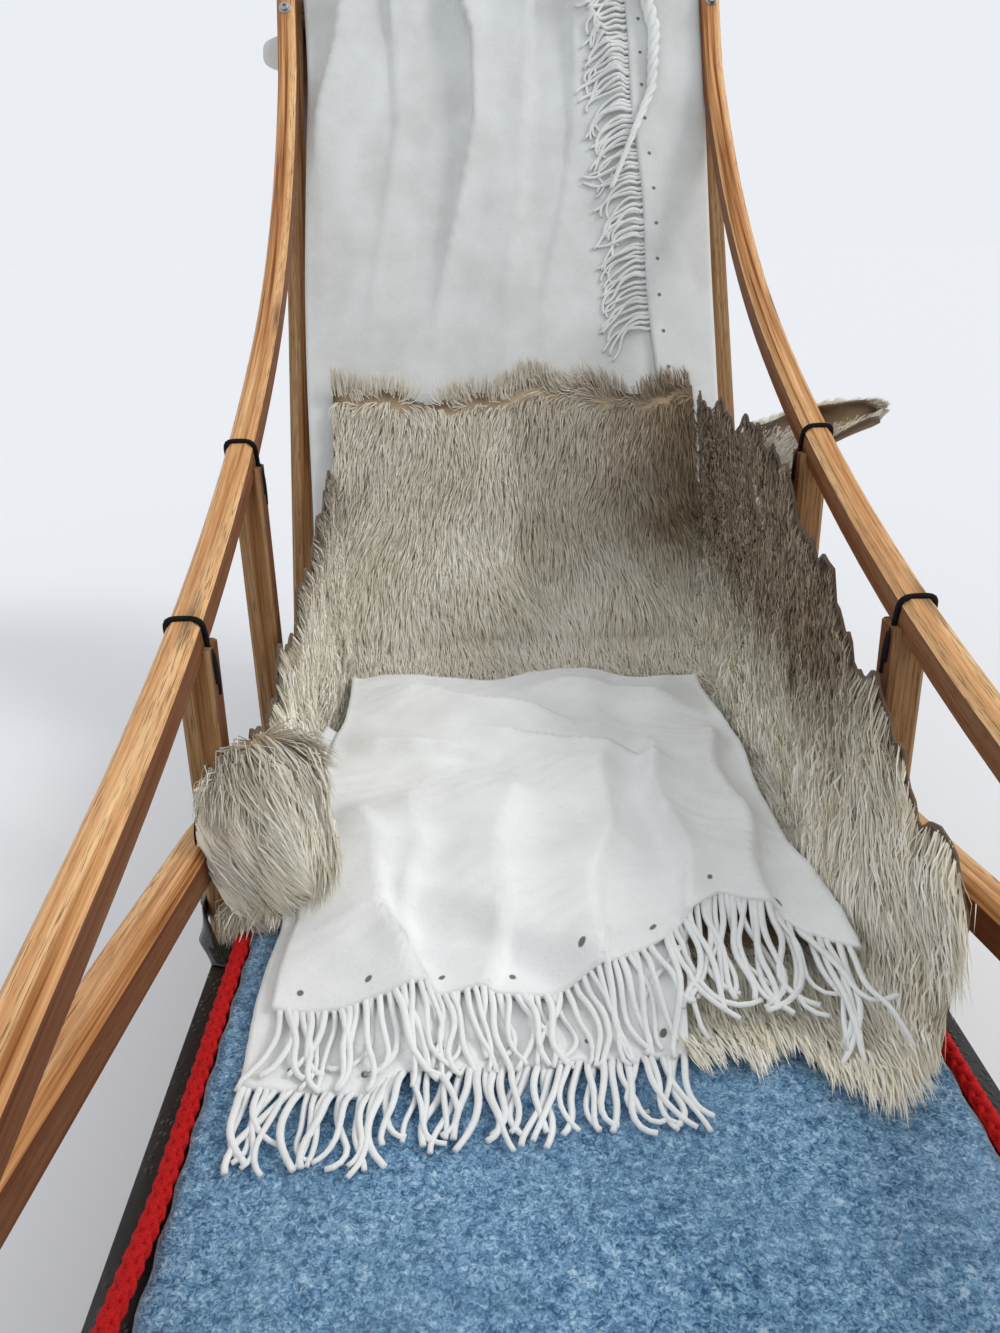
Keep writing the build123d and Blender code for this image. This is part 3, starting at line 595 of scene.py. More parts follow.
# %% [markdown]
# ## Oiled ash
#
# Ash has broad bands of early and late wood, and its large pores show as short dark dashes along the
# grain. Outdoors the oil darkens, the pores fill with grime, and hands and gloves polish the corners.
# The bands are noise that is stretched a long way along the stick, the pores are finer noise with a
# threshold, and a slow blotchy noise makes one stretch redder and another greyer. Faces that look in
# towards the seat are painted a dark red-brown, partly a stain from moisture that stays there longer and
# partly painted shade on these inner faces, so the share of that colour follows the face's direction
# and the side of the sled that it is on.

# %% The wood's shader
ASH_STOPS = (
    (0.34, (112, 62, 28)),
    (0.44, (182, 130, 82)),
    (0.56, (214, 170, 122)),
    (0.70, (236, 202, 154)),
)


def ash(name, tone, inward_stain_and_shade):
    """Oiled ash; tone dims it as a whole, and the last argument is how dark its inward faces are: partly a
    stain, partly painted shade.
    """
    wood = Finish(name, IOR=1.5, Specular_IOR_Level=0.1)
    grain = wood.attribute("grain")
    seed = wood.attribute("seed", output=2)
    shift = wood.join(seed * 3.7, seed * 1.3, seed * 2.1)
    laid = wood.node("ShaderNodeVectorMath", {"operation": "ADD"}, {0: grain, 1: shift})
    bands = wood.noise(wood.stretch(laid, (1.1, 75, 55)), 1.0, 2.0, 0.5, 0.6)
    streaks = wood.noise(wood.stretch(laid, (5, 330, 330)), 1.0, 3.0, 0.6, 0.15)
    pores = wood.noise(wood.stretch(laid, (42, 1250, 1250)), 1.0, 1.0, 0.4)
    blotch = wood.noise(wood.stretch(laid, (4, 26, 26)), 1.0, 3.0, 0.55)
    knots = wood.cells(wood.stretch(laid, (3.1, 24, 24)), 1.0, randomness=0.9)
    dashes = pores.ramp(0.58, 0.66) * bands.ramp(0.36, 0.6)

    def toned(colour):
        return tuple(tone * c for c in from_screen(*colour))

    stops = [(place, toned(colour)) for place, colour in ASH_STOPS]
    body = wood.colours(bands * 0.55 + streaks * 0.45, stops)
    aged = wood.mix(body, toned((134, 82, 44)), blotch.ramp(0.48, 0.74) * 0.55)
    knotty = wood.mix(aged, from_screen(92, 56, 34), (1 - knots.ramp(0.04, 0.17)) * 0.7)
    grimy = wood.mix(knotty, from_screen(70, 41, 24), dashes * 0.62)
    face_x = wood.parts(wood.node("ShaderNodeTexCoord", output=1))[0]
    side = wood.parts(wood.place())[0].ramp(-0.001, 0.001) * 2 - 1
    inward = (face_x * side * -1).ramp(0.78, 0.95)
    # Inward faces darkened: partly a stain, partly painted shade on the inner faces.
    darkened = wood.mix(grimy, from_screen(92, 44, 22), inward * inward_stain_and_shade)
    normal = wood.bump(streaks * 0.3 - dashes, 0.0005, 0.6)
    return wood.set(Base_Color=darkened, Roughness=0.4 + blotch * 0.25 + dashes * 0.2, Normal=normal)


golden_ash = ash("golden_ash", tone=1.16, inward_stain_and_shade=0.84)
brown_ash = ash("brown_ash", tone=0.47, inward_stain_and_shade=0.72)
GOLDEN = ("left_side_rail", "right_side_rail", "handle_bow", "brush_bow", "footboards")
print("two tones of ash")


# %% Dress the wooden pieces
def dress(name, material, edge, angle=24):
    """Give a CAD node its finish and take the sharpness off its edges."""
    piece = nodes[name]
    piece.data.materials.clear()
    piece.data.materials.append(material)
    if name in guides:
        lay_grain(piece, guides[name])
    round_edges(piece, edge, angle)


for name in guides:
    dress(name, golden_ash if name in GOLDEN else brown_ash, edge=0.0012)
print("wood laid on", len(guides), "pieces")

# %% [markdown]
# ## Plastic, rubber and steel
#
# The soles are slabs of black polyethylene, scored along their length by grit. The sheet under the mat
# is the same plastic, thinner and shiny with meltwater. The pads that the driver stands on are ribbed
# rubber, and the brake is bent flat bar under satin paint that has chipped at its edges. These nodes
# keep their shapes from the frame, so each only needs a finish whose marks have the right size.

# %% Scored black plastic for the soles
def scored_plastic():
    sole = Finish("scored_plastic", IOR=1.5)
    place = sole.place()
    scores = sole.noise(sole.stretch(place, (900, 6, 900)), 1.0, 3.0, 0.7)
    scuffs = sole.noise(place, 24.0, 4.0, 0.6)
    colour = sole.mix(from_screen(32, 32, 35), from_screen(74, 75, 79), scores.ramp(0.56, 0.8) * 0.6)
    dusty = sole.mix(colour, from_screen(96, 97, 100), scuffs.ramp(0.62, 0.85) * 0.4)
    normal = sole.bump(scores, 0.0004, 0.5)
    return sole.set(Base_Color=dusty, Roughness=0.38 + scuffs * 0.3, Normal=normal)


dress("runner_soles", scored_plastic(), edge=0.001)
print("soles done")


# %% Wet shiny plastic for the bed's sheet
def wet_plastic():
    sheet = Finish("wet_plastic", IOR=1.5, Coat_Roughness=0.04)
    place = sheet.place()
    film = sheet.noise(place, 14.0, 3.0, 0.55)
    drops = sheet.cells(place, 210.0, randomness=1.0)
    beads = (1 - drops.ramp(0.12, 0.42)) * film.ramp(0.42, 0.6)
    scratches = sheet.noise(sheet.stretch(place, (40, 700, 40)), 1.0, 2.0, 0.6)
    colour = sheet.mix(from_screen(22, 23, 26), from_screen(58, 60, 64), scratches.ramp(0.6, 0.85) * 0.5)
    normal = sheet.bump(beads + film * 0.2, 0.0008, 0.4)
    rough = 0.32 - film.ramp(0.3, 0.7) * 0.06
    coat = film.ramp(0.35, 0.75) * 0.5
    return sheet.set(Base_Color=colour, Roughness=rough, Coat_Weight=coat, Normal=normal)


bed_plastic = wet_plastic()
dress("bed_sheet", bed_plastic, edge=0.0006, angle=60)
print("bed sheet done")


# %% Ribbed rubber, painted bar and bare steel
def rubber(name, ribs_per_metre=0.0):
    made = Finish(name, Roughness=0.8)
    place = made.place()
    grain = made.noise(place, 420.0, 2.0, 0.6)
    dust = made.noise(place, 30.0, 4.0, 0.6)
    colour = made.mix(from_screen(34, 34, 35), from_screen(92, 90, 86), dust.ramp(0.5, 0.8) * 0.55)
    height = grain * 0.15
    if ribs_per_metre:
        along = made.parts(place)[1]
        ribs = (along * (2 * math.pi * ribs_per_metre)).sine()
        height = height + ribs.ramp(-0.4, 0.4)
    normal = made.bump(height, 0.0012, 0.8)
    return made.set(Base_Color=colour, Normal=normal)


def steel(name, base, worn, amount, metal=1.0):
    """Steel whose coat, of a base colour, has worn through in patches and specks."""
    made = Finish(name, Metallic=metal)
    place = made.place()
    patches = made.noise(place, 60.0, 5.0, 0.65)
    specks = made.noise(place, 700.0, 2.0, 0.5)
    bare = (patches + specks * 0.25).ramp(0.78 - amount, 0.9 - amount)
    colour = made.mix(base, worn, bare)
    normal = made.bump(specks * 0.3 - bare, 0.0003, 0.7)
    return made.set(Base_Color=colour, Roughness=0.36 + patches * 0.3, Normal=normal)


zinc = steel("zinc_plate", from_screen(176, 178, 180), from_screen(110, 100, 92), 0.12)
satin_paint = steel("satin_paint", from_screen(36, 37, 40), from_screen(92, 72, 58), 0.16, metal=0.0)
ground_steel = steel("ground_steel", from_screen(150, 148, 146), from_screen(96, 66, 48), 0.2)
dress("footboard_pads", rubber("ribbed_rubber"), edge=0.0012)
dress("brake_pad", rubber("pad_rubber", 140), edge=0.0012)
dress("brake_frame", satin_paint, edge=0.001)
dress("brake_claws", ground_steel, edge=0.0006, angle=50)
dress("brake_brackets", zinc, edge=0.0008)
dress("tow_eyes", zinc, edge=0.0008, angle=50)
print("rubber and steel done")

# %% [markdown]
# ## Making meshes from arrays
#
# Cloth, fur, fringes, ropes and cords are all made of many like points, so they are worked out as
# arrays and handed to Blender in one go. Three helpers do it: a sheet from a grid of points, which
# is given a thickness and a rim; a bundle of round tubes that follow lines; and locks of hair, which
# are narrow pointed ribbons. A closed sheet and a closed tube look right from both sides.

# %% Mesh helpers
chance = np.random.default_rng(11)


def rising(value, start, width):
    """0 up to a start, then straight up to 1 over a width."""
    return np.clip((value - start) / width, 0, 1)


def falling(value, end, width):
    """1 at first, then straight down to 0 at an end, over a width."""
    return np.clip((end - value) / width, 0, 1)


def unit(vectors):
    """Each vector at length 1."""
    return vectors / np.maximum(np.linalg.norm(vectors, axis=-1, keepdims=True), 1e-9)


def make_piece(name, points, faces, material, numbers=()):
    """A smooth mesh that rides on the sled, with its finish and its named numbers for each point."""
    mesh = bpy.data.meshes.new(name)
    faces = np.asarray(faces, np.int64)
    mesh.vertices.add(len(points))
    mesh.vertices.foreach_set("co", np.asarray(points, np.float32).reshape(-1))
    mesh.loops.add(faces.size)
    mesh.loops.foreach_set("vertex_index", faces.reshape(-1).astype(np.int32))
    mesh.polygons.add(len(faces))
    starts = np.arange(0, faces.size, faces.shape[1], dtype=np.int32)
    mesh.polygons.foreach_set("loop_start", starts)
    mesh.update(calc_edges=True)
    mesh.polygons.foreach_set("use_smooth", np.ones(len(faces), bool))
    for key, values in dict(numbers).items():
        values = np.asarray(values, np.float32)
        kind = "FLOAT_VECTOR" if values.ndim == 2 else "FLOAT"
        layer = mesh.attributes.new(key, kind, "POINT")
        layer.data.foreach_set("vector" if values.ndim == 2 else "value", values.reshape(-1))
    mesh.materials.append(material)
    made = placed(name, mesh)
    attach(made, "sled")
    return made


print("helpers: shares, unit vectors and pieces from arrays")

# %% Closed sheets from grids of points
def grid_normals(points):
    """Normals of a grid of points, from its rows and columns."""
    along = np.gradient(points, axis=0)
    across = np.gradient(points, axis=1)
    return unit(np.cross(across, along))


def grid_faces(rows, columns):
    """Four-sided faces of a grid."""
    corner = np.arange(rows * columns).reshape(rows, columns)
    return np.stack(
        [corner[:-1, :-1], corner[:-1, 1:], corner[1:, 1:], corner[1:, :-1]], axis=-1
    ).reshape(-1, 4)


def cloth_mesh(name, points, thickness, material, numbers=()):
    """A closed sheet whose middle is a grid of points, with a rim round its edges."""
    rows, columns = points.shape[:2]
    normals = grid_normals(points)
    top = (points + normals * thickness / 2).reshape(-1, 3)
    bottom = (points - normals * thickness / 2).reshape(-1, 3)
    faces = grid_faces(rows, columns)
    corner = np.arange(rows * columns).reshape(rows, columns)
    rim = np.concatenate(
        [corner[0, :], corner[1:, -1], corner[-1, -2::-1], corner[-2:0:-1, 0]]
    )
    after = np.roll(rim, -1)
    count = rows * columns
    sides = np.stack([after, rim, rim + count, after + count], axis=-1)
    every = np.concatenate([faces, faces[:, ::-1] + count, sides])
    doubled = {key: np.concatenate([v, v]) for key, v in dict(numbers).items()}
    return make_piece(name, np.concatenate([top, bottom]), every, material, doubled)


def point_numbers(key, x, y, z):
    """Three numbers for each point of a grid, under one name."""
    return {key: np.stack(np.broadcast_arrays(x, y, z), axis=-1).reshape(-1, 3)}


def smoothed(points, times):
    """The points of a line, each drawn towards its neighbours a number of times."""
    for _ in range(times):
        points[1:-1] = (points[:-2] + 2 * points[1:-1] + points[2:]) / 4
    return points


print("a sheet of 3 by 3 points has", len(grid_faces(3, 3)), "faces a side")

# %% Tubes along lines
def ring_faces(count, rings, sides):
    """Faces round a number of tubes, each with rings of sides."""
    ring = np.arange(sides)
    step = np.arange(rings - 1)[:, None] * sides
    near = step + ring
    far = step + (ring + 1) % sides
    one = np.stack([near, far, far + sides, near + sides], axis=-1).reshape(-1, 4)
    return (one[None] + (np.arange(count) * rings * sides)[:, None, None]).reshape(-1, 4)


def tube_points(lines, radii, sides, flat=1.0):
    """Rings of points round each line; flat squeezes them towards the floor."""
    heading = unit(np.gradient(lines, axis=1))
    overall = unit(lines[:, -1] - lines[:, 0])
    least = np.eye(3)[np.abs(overall).argmin(axis=1)][:, None, :]
    side = unit(np.cross(heading, least))
    other = np.cross(heading, side)
    turn = np.linspace(0, 2 * np.pi, sides, endpoint=False)
    ring = np.cos(turn)[:, None] * side[:, :, None, :] + np.sin(turn)[:, None] * other[:, :, None, :]
    ring[..., 2] *= flat
    return lines[:, :, None, :] + ring * radii[:, :, None, None]


def tubes(name, lines, radii, sides, material, flat=1.0, numbers=()):
    """Round tubes along lines, closed at their ends by shrinking the last ring to almost nothing."""
    lines = np.asarray(lines, float)
    radii = np.broadcast_to(np.asarray(radii, float), lines.shape[:2]).copy()
    ends = np.stack([lines[:, 0], lines[:, -1]], axis=1)
    lines = np.concatenate([ends[:, :1], lines, ends[:, 1:]], axis=1)
    small = np.full((len(lines), 1), 1e-5)
    radii = np.concatenate([small, radii, small], axis=1)
    heading = unit(np.gradient(lines, axis=1))
    heading[:, 0], heading[:, -1] = heading[:, 1], heading[:, -2]
    points = tube_points(lines, radii, sides, flat)
    count, rings = lines.shape[:2]
    return make_piece(
        name, points.reshape(-1, 3), ring_faces(count, rings, sides), material, numbers
    )


print("mesh helpers ready")

# %% [markdown]
# ## White fleece
#
# Both blankets are of the same thick white fleece: a knit brushed up into a soft matt pile, with no
# weave to see. Close up it has small pills and a faint blotchiness. A little sheen at glancing angles
# stands for the loose fibres. Along its fringed ends runs a row of punched holes, which the shader
# draws from two numbers kept in the mesh: the distance along the hem and the distance in from it, and
# paints grey as the shade inside them. The fleece is darker on the backrest, which is painted shade,
# and paler on the seat, which is painted light against the shade of the hide's trough.

# %% The fleece's shader
HOLE_STEP = 0.052
HOLE_INSET = 0.017
HOLE_RADIUS = 0.0026
# grey of the punched holes: painted shade inside each hole
HOLE_SHADE_GREY = from_screen(112, 112, 108)
PILL_GREY = from_screen(180, 180, 174)


def fleece(name, dull, bright, holes=False):
    made = Finish(
        name, Roughness=0.95, Sheen_Weight=0.25, Sheen_Roughness=0.6, Specular_IOR_Level=0.15
    )
    place = made.place()
    pile = made.noise(place, 900.0, 2.0, 0.6)
    pills = made.noise(place, 260.0, 3.0, 0.6)
    soft = made.noise(place, 16.0, 4.0, 0.55)
    colour = made.mix(from_screen(*dull), from_screen(*bright), soft.ramp(0.36, 0.64))
    colour = made.mix(colour, PILL_GREY, pills.ramp(0.6, 0.8) * 0.3)
    normal = made.bump(pile * 0.3 + pills * 0.7, 0.0016, 0.45)
    if holes:
        hem = made.parts(made.attribute("hem"))
        along = ((hem[0] / HOLE_STEP).fraction() - 0.5) * HOLE_STEP
        inward = hem[1] - HOLE_INSET
        away = (along * along + inward * inward) ** 0.5
        hole = 1 - away.ramp(HOLE_RADIUS * 0.8, HOLE_RADIUS * 1.15)
        # Each hole is painted grey: painted shade inside the hole.
        colour = made.mix(colour, HOLE_SHADE_GREY, hole)
        normal = made.bump(1 - hole, 0.002, 0.7, under=normal)
    return made.set(Base_Color=colour, Normal=normal)


# One white fleece in two tones: darker on the backrest, which is painted shade, and paler on the seat and its
# strands, which is painted light against the shade of the hide's trough.
BACK_TONES_PAINTED_SHADE = (201, 203, 201), (212, 215, 214)
SEAT_TONES_PAINTED_LIGHT = (234, 236, 235), (243, 245, 244)
back_fleece = fleece("back_fleece", *BACK_TONES_PAINTED_SHADE, holes=True)
back_strands = fleece("back_strands", (216, 218, 216), (228, 230, 228))
seat_fleece = fleece("seat_fleece", *SEAT_TONES_PAINTED_LIGHT, holes=True)
seat_strands = fleece("seat_strands", *SEAT_TONES_PAINTED_LIGHT)
print("fleece ready")

# %% [markdown]
# ## The backrest's canvas
#
# Behind the blanket a black canvas carries the passenger's back. It is a wide strip that goes round
# both bars of the backrest and is sewn to itself behind them, so it is taut, with faint creases that
# run down from bar to bar. It is a grid of points that follows the strip's path, with a plain weave
# and one row of stitches along each end drawn by the shader.

# %% Path of a strip round the bars, in the plane of the sled's side
def side_path(start, heading, runs, spacing):
    """Y and Z of evenly spaced points, from runs of length, turn in degrees and radius."""
    line = bent_line(start, heading, runs, lambda y: 0.0)
    points = np.array([(p.y, p.z) for p in line])
    steps = np.linalg.norm(np.diff(points, axis=0), axis=1)
    travelled = np.concatenate([[0], np.cumsum(steps)])
    wanted = np.linspace(0, travelled[-1], round(travelled[-1] / spacing) + 1)
    return np.stack([np.interp(wanted, travelled, points[:, k]) for k in (0, 1)], axis=1), wanted


def canvas():
    made = Finish("black_canvas", Roughness=0.9, Sheen_Weight=0.15)
    cloth = made.parts(made.attribute("cloth"))
    weave = (cloth[0] * 5200).sine() * (cloth[1] * 5200).sine()
    fade = made.noise(made.place(), 9.0, 4.0, 0.6)
    seam = 1 - (cloth[2] - 0.008).size().ramp(0.0005, 0.0009)
    stitches = seam * (cloth[0] * 1500).sine().ramp(-0.2, 0.2)
    colour = made.mix(from_screen(33, 33, 36), from_screen(58, 58, 61), fade.ramp(0.4, 0.7))
    sewn = made.mix(colour, from_screen(120, 120, 118), stitches)
    normal = made.bump(weave * 0.5 + stitches * 2, 0.0004, 0.6)
    return made.set(Base_Color=sewn, Normal=normal)


TOP_BAR = Vector((0, backrest_y(TOP_BAR_Z), TOP_BAR_Z))
BAR_TO_BAR = 0.5 / math.cos(LEAN)
CANVAS_WIDTH = 0.528
CANVAS_HEM = 0.07
canvas_radius = 0.0157
canvas_start = (
    TOP_BAR.y + canvas_radius * math.cos(LEAN) - CANVAS_HEM * math.sin(LEAN),
    TOP_BAR.z - canvas_radius * math.sin(LEAN) - CANVAS_HEM * math.cos(LEAN),
)
canvas_runs = [
    (CANVAS_HEM, -180, canvas_radius),
    (BAR_TO_BAR, -180, canvas_radius),
    (CANVAS_HEM, 0, 0),
]
canvas_path, canvas_along = side_path(canvas_start, 90 + LEAN_DEGREES, canvas_runs, 0.006)
across = np.linspace(-CANVAS_WIDTH / 2, CANVAS_WIDTH / 2, 61)
grid_x, grid_s = np.meshgrid(across, canvas_along)
canvas_points = np.stack(
    np.broadcast_arrays(grid_x, canvas_path[:, :1], canvas_path[:, 1:]), axis=-1
)
taut = np.clip((grid_s - CANVAS_HEM - 0.1) * (canvas_along[-1] - CANVAS_HEM - 0.1 - grid_s) * 16, 0, 1)
creases = 0.0016 * np.sin(grid_x * 61 + 0.8 * np.sin(grid_s * 9)) + 0.001 * np.sin(grid_x * 143)
canvas_points += np.array([0, math.cos(LEAN), -math.sin(LEAN)]) * (taut * (creases + 0.002))[..., None]
from_end = np.minimum(grid_s, canvas_along[-1] - grid_s)
canvas_numbers = point_numbers("cloth", grid_x, grid_s, from_end)
back_canvas = cloth_mesh("backrest_canvas", canvas_points, 0.0022, canvas(), canvas_numbers)
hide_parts("back_cloth")
print("canvas strip is", round(canvas_along[-1], 3), "m long")

# %% [markdown]
# ## The backrest's blanket
#
# The blanket hangs over the top bar, a short end behind and the long one down the front to the seat.
# It is wider than the backrest, so its right side is folded over to the front, and its fringed end
# shows there as a line of curly strands. A left corner has swung out past the stanchion. The cloth
# could be dropped by a simulation, but its three sharp folds and that flap lie where someone left
# them, so the sheet is a grid along the blanket's path whose points are moved by the listed folds:
# each fold is a ridge with one steep side and one long one, and it fades on its way down.

# %% Folds of the hanging blanket
BLANKET_RADIUS = 0.0206
BLANKET_REAR = 0.225
BLANKET_FRONT = 0.885
BLANKET_THICKNESS = 0.0052
blanket_runs = [(BLANKET_REAR, -(180 - LEAN_DEGREES), BLANKET_RADIUS), (BLANKET_FRONT, 0, 0)]
blanket_start = (TOP_BAR.y + BLANKET_RADIUS, TOP_BAR.z - BLANKET_REAR)
blanket_path, blanket_along = side_path(blanket_start, 90, blanket_runs, 0.0055)
TOP_AT = BLANKET_REAR + BLANKET_RADIUS * math.radians(75)

# where each fold's crest runs, at these distances down the front
CREST_DOWN = (0.0, 0.1, 0.22, 0.32, 0.47, 0.75)
# its places across, height, how far down it fades, width of its long side, which side is long
FOLDS = (
    ((-0.217, -0.234, -0.265, -0.276, -0.283, -0.285), 0.036, 0.42, 0.050, 1),
    ((-0.067, -0.041, -0.040, -0.061, -0.096, -0.140), 0.036, 0.62, 0.028, 1),
    ((0.098, 0.150, 0.178, 0.195, 0.200, 0.200), 0.030, 0.20, 0.045, -1),
    ((-0.160, -0.152, -0.150, -0.165, -0.190, -0.210), 0.012, 0.80, 0.030, 1),
    ((0.045, 0.040, 0.030, 0.020, -0.005, -0.020), 0.013, 0.90, 0.040, -1),
    ((0.100, 0.104, 0.100, 0.085, 0.050, 0.030), 0.010, 1.20, 0.045, 1),
)


def fold_height(x, down):
    """How far the cloth stands proud of its path at a place across and a distance down the front."""
    height = np.zeros_like(x)
    for crest, tall, fade, width, side in FOLDS:
        away = (x - np.interp(down, CREST_DOWN, crest)) * side
        long_side = np.exp(-np.clip(away, 0, None) / width)
        steep = 0.0026 + 0.014 * np.clip(down / fade, 0, 1)
        short_side = np.exp(np.clip(away, None, 0) / steep)
        left = np.exp(-np.clip(down, 0, None) / fade * 1.3) * np.clip(1 + down * 9, 0.15, 1)
        height += tall * np.where(away > 0, long_side, short_side) * left
    height += 0.003 * np.sin(x * 31 + 2.2 * np.sin(down * 5.2)) * np.clip(down * 6, 0, 1)
    height += 0.0012 * np.sin(x * 96 + 7 * down) * np.sin(down * 24 + 11 * x)
    return np.clip(height, 0, None)


print("folds", len(FOLDS), "and the tallest is", max(fold[1] for fold in FOLDS), "m")

# %% Points on the hanging blanket's path
def blanket_frame(along):
    """Y, Z and the outward direction of the blanket's path at distances along it."""
    y = np.interp(along, blanket_along, blanket_path[:, 0])
    z = np.interp(along, blanket_along, blanket_path[:, 1])
    slope_y = np.interp(along, blanket_along, np.gradient(blanket_path[:, 0], blanket_along))
    slope_z = np.interp(along, blanket_along, np.gradient(blanket_path[:, 1], blanket_along))
    size = np.hypot(slope_y, slope_z)
    return y, z, slope_z / size, -slope_y / size


def on_blanket(x, along, lift):
    """Points at a place across, a distance along the path, and a height above it."""
    y, z, out_y, out_z = blanket_frame(along)
    return np.stack([x, y + out_y * lift, z + out_z * lift], axis=-1)


LEFT_EDGE = -0.281
RIGHT_EDGE = 0.283
FOLD_RADIUS = 0.0036


def right_edge(down):
    return RIGHT_EDGE - 0.018 * np.clip(down - 0.55, 0, 1) + 0.003 * np.sin(down * 7 + 1)


def hem_x(down):
    """Place across of the folded end's hem."""
    return 0.178 + 0.035 * np.clip(down, 0, 1) + 0.0025 * np.sin(down * 23)


def sheet_lift(x, down):
    """Height of the sheet above its path: the folds, and slack where it goes over the bar."""
    lift = 1.15 * fold_height(x, down) * np.clip((0.56 - down) / 0.1, 0.12, 1)
    slack = rising(np.abs(x + 0.045), 0.05, 0.06)
    return lift + 0.011 * np.exp(-((down / 0.045) ** 2)) * slack


print("the blanket's path is", round(blanket_along[-1], 3), "m long")

# %% The grid: the flat part, the fold and the folded end
flat_share = np.linspace(0, 1, 110)
arc_share = np.linspace(0, 1, 7)[1:]
flap_share = np.linspace(0, 1, 18)[1:]
columns = len(flat_share) + len(arc_share) + len(flap_share)
rows = len(blanket_along)
down = np.repeat((blanket_along - TOP_AT)[:, None], columns, 1)
behind = np.clip(-down, 0, None)
share = np.concatenate([flat_share, np.ones(len(arc_share) + len(flap_share))])[None, :]
corner_share = np.clip(1 - share / 0.16, 0, 1)
short = 1 - 0.56 * corner_share**0.7
down = np.where(down < 0, down * short, down)
lobe = np.exp(-(((behind * short - 0.066) / 0.030) ** 4)) * 0.072
left_line = LEFT_EDGE + 0.004 * np.sin(down * 9) - lobe * corner_share
right_line = right_edge(down)
grid_x = left_line + (right_line - left_line) * share
arc = np.concatenate([np.zeros(len(flat_share)), arc_share, np.ones(len(flap_share))])[None, :]
back = np.concatenate([np.zeros(len(flat_share) + len(arc_share)), flap_share])[None, :]
flap_width = right_line - hem_x(down)
grid_x = grid_x + FOLD_RADIUS * np.sin(np.pi * arc) - back * flap_width
lift = sheet_lift(np.clip(grid_x, -1, RIGHT_EDGE), down)
edge_share = np.clip((grid_x - LEFT_EDGE) / 0.02, 0, 1) * np.clip((RIGHT_EDGE - grid_x) / 0.02, 0, 1)
lift = lift * (0.45 + 0.55 * edge_share) + FOLD_RADIUS * (1 - np.cos(np.pi * arc))
blanket_points = on_blanket(grid_x, down + TOP_AT, lift)

# Behind the left stanchion the corner passes outside the handle bow's leg
leg_rear = backrest_y(blanket_points[..., 2]) + 0.0502 + 0.008
outside = falling(grid_x, -0.262, 0.024) * (down < -0.02)
pushed = np.maximum(blanket_points[..., 1], leg_rear)
blanket_points[..., 1] += (pushed - blanket_points[..., 1]) * outside
hem_inset = np.where(back > 0, (1 - back) * flap_width, 1.0)
blanket_numbers = point_numbers("hem", down + 1, hem_inset, 0)
back_blanket = cloth_mesh(
    "backrest_blanket", blanket_points, BLANKET_THICKNESS, back_fleece, blanket_numbers
)
print("hanging blanket", rows, "by", columns, "points, stands", round(lift.max() * 1000), "mm proud")

# %% [markdown]
# ## The folded end's fringe
#
# The blanket's end is cut into strips that have been tugged until they curled. They hang to the left
# and down from the hem, each a little different, and near the bar a few have twisted together into
# one rope-like bundle. Each strip is a round tube along a line that starts at the hem and lies on
# the sheet: the strips are nearly one length, and what changes is their curl.

# %% Curly strips along a hem
def curl_lines(count, steps, length, turn, spread):
    """Flat curly lines that start along +X: forward and sideways distances, and their share."""
    share = np.linspace(0, 1, steps)[None, :]
    bend = turn * share**1.3 + spread * chance.normal(0, 0.35, (count, 1)) * share
    wave = 0.5 * spread * np.sin(share * chance.uniform(4, 9, (count, 1)) + chance.uniform(0, 6, (count, 1)))
    end_curl = chance.normal(0, 0.9, (count, 1)) * np.clip(share - 0.7, 0, 1) * 3
    angle = bend + wave * share + end_curl * spread
    step = length * chance.uniform(0.86, 1.08, (count, 1)) / (steps - 1)
    ahead = np.cumsum(np.cos(angle) * step, axis=1)
    sideways = np.cumsum(np.sin(angle) * step, axis=1)
    return ahead - ahead[:, :1], sideways - sideways[:, :1], share


STRIP_RADIUS = 0.0029
hem_down = np.arange(-0.02, 0.53, 0.0072)
ahead, sideways, share = curl_lines(len(hem_down), 16, 0.082, 1.25, 0.8)
ahead[:, 0] -= 0.004
strip_x = hem_x(hem_down)[:, None] - ahead
strip_down = hem_down[:, None] + sideways + chance.normal(0, 0.0015, (len(hem_down), 1))
layer = chance.uniform(0, 1, (len(hem_down), 1))
rest_on = 2 * FOLD_RADIUS * np.clip(1 - share * 2.4, 0, 1) + BLANKET_THICKNESS / 2 + STRIP_RADIUS * 0.8
hump = 0.006 * layer * np.sin(np.pi * np.clip(share * 1.3, 0, 1))
strip_lift = sheet_lift(strip_x, strip_down) + rest_on * np.clip(share * 5, 0.0, 1) + hump
strip_lift[:, 0] = sheet_lift(strip_x[:, 0], strip_down[:, 0]) + 2 * FOLD_RADIUS
strip_radii = STRIP_RADIUS * (1 - 0.35 * share) * chance.uniform(0.85, 1.15, (len(hem_down), 1))
back_fringe = tubes(
    "backrest_fringe", on_blanket(strip_x, strip_down + TOP_AT, strip_lift), strip_radii, 6,
    back_strands,
)
print("strips", len(hem_down))

